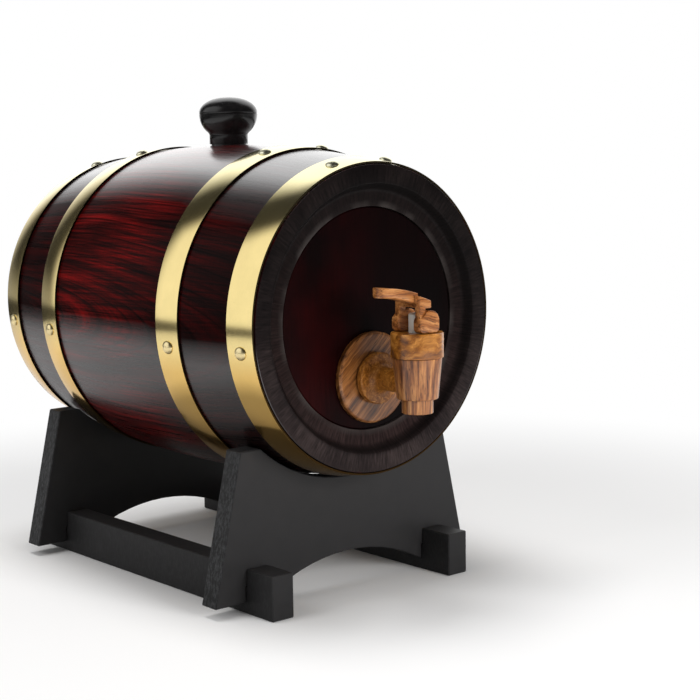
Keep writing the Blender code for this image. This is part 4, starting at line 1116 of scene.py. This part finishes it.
def dress_carried_over():
    build_squeezed("tap_spring", STEEL)
    build_squeezed("tap_boot", RUBBER)
    for node in ("stand_panel_front", "stand_panel_rear"):
        dress(node, PANEL_PAINT)
    for node in ("stand_rail_left", "stand_rail_right"):
        dress(node, RAIL_PAINT)
    for node in ("tap_gasket_outer", "tap_gasket_inner"):
        dress(node, RUBBER)
    dress("tap_stem", STEM_PLASTIC)
    dress("tap_nut", NUT_PRINT)
    dress("tap_pin", LEVER_PRINT)


# Stage, light and camera


def floor_white():
    """Pale for the camera, fading into the white surround, and with a painted shadow near the part for what
    it reflects.
    """
    pale, paler = (0.915, 0.912, 0.910), (0.93, 0.927, 0.925)
    fade_start, fade_end = 0.30, 0.62
    s = Shade("floor_white")
    x, y, _ = s.parts(s.place)
    reach = s.vector("LENGTH", s.join(x, y, 0.0))
    camera_ray = s.add("ShaderNodeLightPath").outputs["Is Camera Ray"]
    cloud = s.noise(s.place, scale=3.0, detail=2, roughness=0.5)
    seen = s.mix(s.ramp(cloud, (0.3, 0.0), (0.7, 1.0)), pale, paler)
    # Painted shadow: for every ray but the camera's, the floor is darker near the part
    painted_shadow_bounce = s.ramp(reach, (0.19, 0.32), (0.27, 0.76), (0.40, 0.86), (0.52, 1.0))
    s.finish(s.mix(camera_ray, painted_shadow_bounce, seen), 0.85, specular_ior_level=0.0)
    glow = s.add("ShaderNodeEmission")
    mixer = s.add("ShaderNodeMixShader")
    fade = s.product(s.step(reach, fade_start, fade_end), camera_ray)
    surface = s.fill(mixer, fade, s.shader.outputs[0], glow.outputs[0])
    s.put(s.tree.nodes["Material Output"].inputs["Surface"], surface)
    return s.material


def build_floor():
    """A round pale floor, just below the stand's rails."""
    radius, drop = 1.05, 0.0002
    bm = bmesh.new()
    bmesh.ops.create_circle(bm, cap_ends=True, segments=96, radius=radius)
    mesh = saved(bm, "floor")
    mesh.materials.append(floor_white())
    floor = linked("floor", mesh)
    floor.location = (0, 0, -drop)


class WorldShade(Shade):
    """The same short ways, for the world's nodes."""

    def __init__(self):
        world = bpy.data.worlds.new("studio")
        world.use_nodes = True
        world.cycles.sampling_method = "NONE"
        bpy.context.scene.world = world
        self.tree = world.node_tree
        self.back = self.tree.nodes["Background"]
        self.place = self.add("ShaderNodeTexCoord").outputs["Generated"]


def build_world():
    """White for the camera, even soft light, and for gloss a studio of two white walls with a dark gap.

    Angles are in degrees: side to the right of +Y, rise above the horizon.
    """
    right_level, left_level, haze_level, dark_level, even_level = 1.38, 1.00, 0.30, 0.04, 0.29
    skirting, far_skirting, far_side = (-5.5, -3.5), (-11, -9), (18, 34)
    right_near, right_far = (-7, 23), (110, 75)
    left_near, left_far = (-19, -37), (-120, -85)
    wall_top, haze_top = (66, 52), (9, -4)
    bow_start, bow_slope = 33.0, 0.9
    degrees = 180 / math.pi
    s = WorldShade()
    x, y, z = s.parts(s.vector("NORMALIZE", s.place))
    side = s.product(s.math("ARCTAN2", x, y), degrees)
    rise = s.product(s.math("ARCSINE", z), degrees)
    beyond = s.product(s.step(rise, *far_skirting), s.step(side, *far_side))
    above = s.math("MAXIMUM", s.step(rise, *skirting), beyond)
    right = s.product(s.step(side, *right_near), s.step(side, *right_far))
    bow = s.product(s.math("MAXIMUM", s.math("SUBTRACT", rise, bow_start), 0.0), bow_slope)
    left = s.product(s.step(s.total(side, bow), *left_near), s.step(side, *left_far))
    walls = s.total(s.product(right, right_level), s.product(left, left_level))
    walls = s.product(walls, s.step(rise, *wall_top))
    haze = s.product(s.step(rise, *haze_top), haze_level)
    studio = s.total(s.product(s.math("MAXIMUM", walls, haze), above), dark_level)
    path = s.add("ShaderNodeLightPath")
    camera, glossy = path.outputs["Is Camera Ray"], path.outputs["Is Glossy Ray"]
    even = s.product(s.math("SUBTRACT", 1.0, glossy), even_level)
    level = s.total(s.product(glossy, studio), even)
    level = s.total(s.product(level, s.math("SUBTRACT", 1.0, camera)), camera)
    s.put(s.back.inputs["Strength"], level)
    s.put(s.back.inputs["Color"], (1, 1, 1, 1))


def add_softbox(name, side, rise, size, energy):
    """A soft lamp aimed at the part, placed by degrees to the right of +Y and above the horizon."""
    distance, aim = 1.3, Vector((0, 0, 0.15))
    light = bpy.data.lights.new(name, "AREA")
    light.shape = "RECTANGLE"
    light.size, light.size_y = size
    light.energy = energy
    item = linked(name, light)
    side, rise = math.radians(side), math.radians(rise)
    away = Vector((math.sin(side) * math.cos(rise), math.cos(side) * math.cos(rise), math.sin(rise)))
    item.location = aim + away * distance
    item.rotation_euler = (-away).to_track_quat("-Z", "Y").to_euler()
    item.visible_glossy = False


def build_camera():
    """The photograph's view, fitted to the object's corners and rims."""
    place = (-0.6095, CASK_MIDDLE.y - 0.81442, 0.26936)
    right = Vector((0.75413, -0.65658, -0.014)).normalized()
    ahead = Vector((0.64977, 0.74906, -0.1293)).normalized()
    camera = bpy.data.cameras.new("camera")
    camera.lens = 80.18
    camera.sensor_width = 36
    camera.clip_start = 0.05
    item = linked("camera", camera)
    columns = (right, right.cross(ahead), -ahead)
    turn = Matrix([[column[row] for column in columns] for row in range(3)]).to_4x4()
    item.matrix_world = Matrix.Translation(place) @ turn
    bpy.context.scene.camera = item


build_staves()
build_heads()
build_hoops()
build_bung()
build_rosette()
build_body()
build_cap()
build_lever()
dress_carried_over()
build_floor()
build_world()
add_softbox("soft_top", side=-30, rise=82, size=(0.55, 0.55), energy=11.0)
add_softbox("soft_left", side=-84, rise=40, size=(0.50, 0.60), energy=3.2)
add_softbox("soft_front", side=176, rise=11, size=(0.50, 0.50), energy=10.5)
build_camera()
bpy.context.scene.view_settings.view_transform = "Standard"
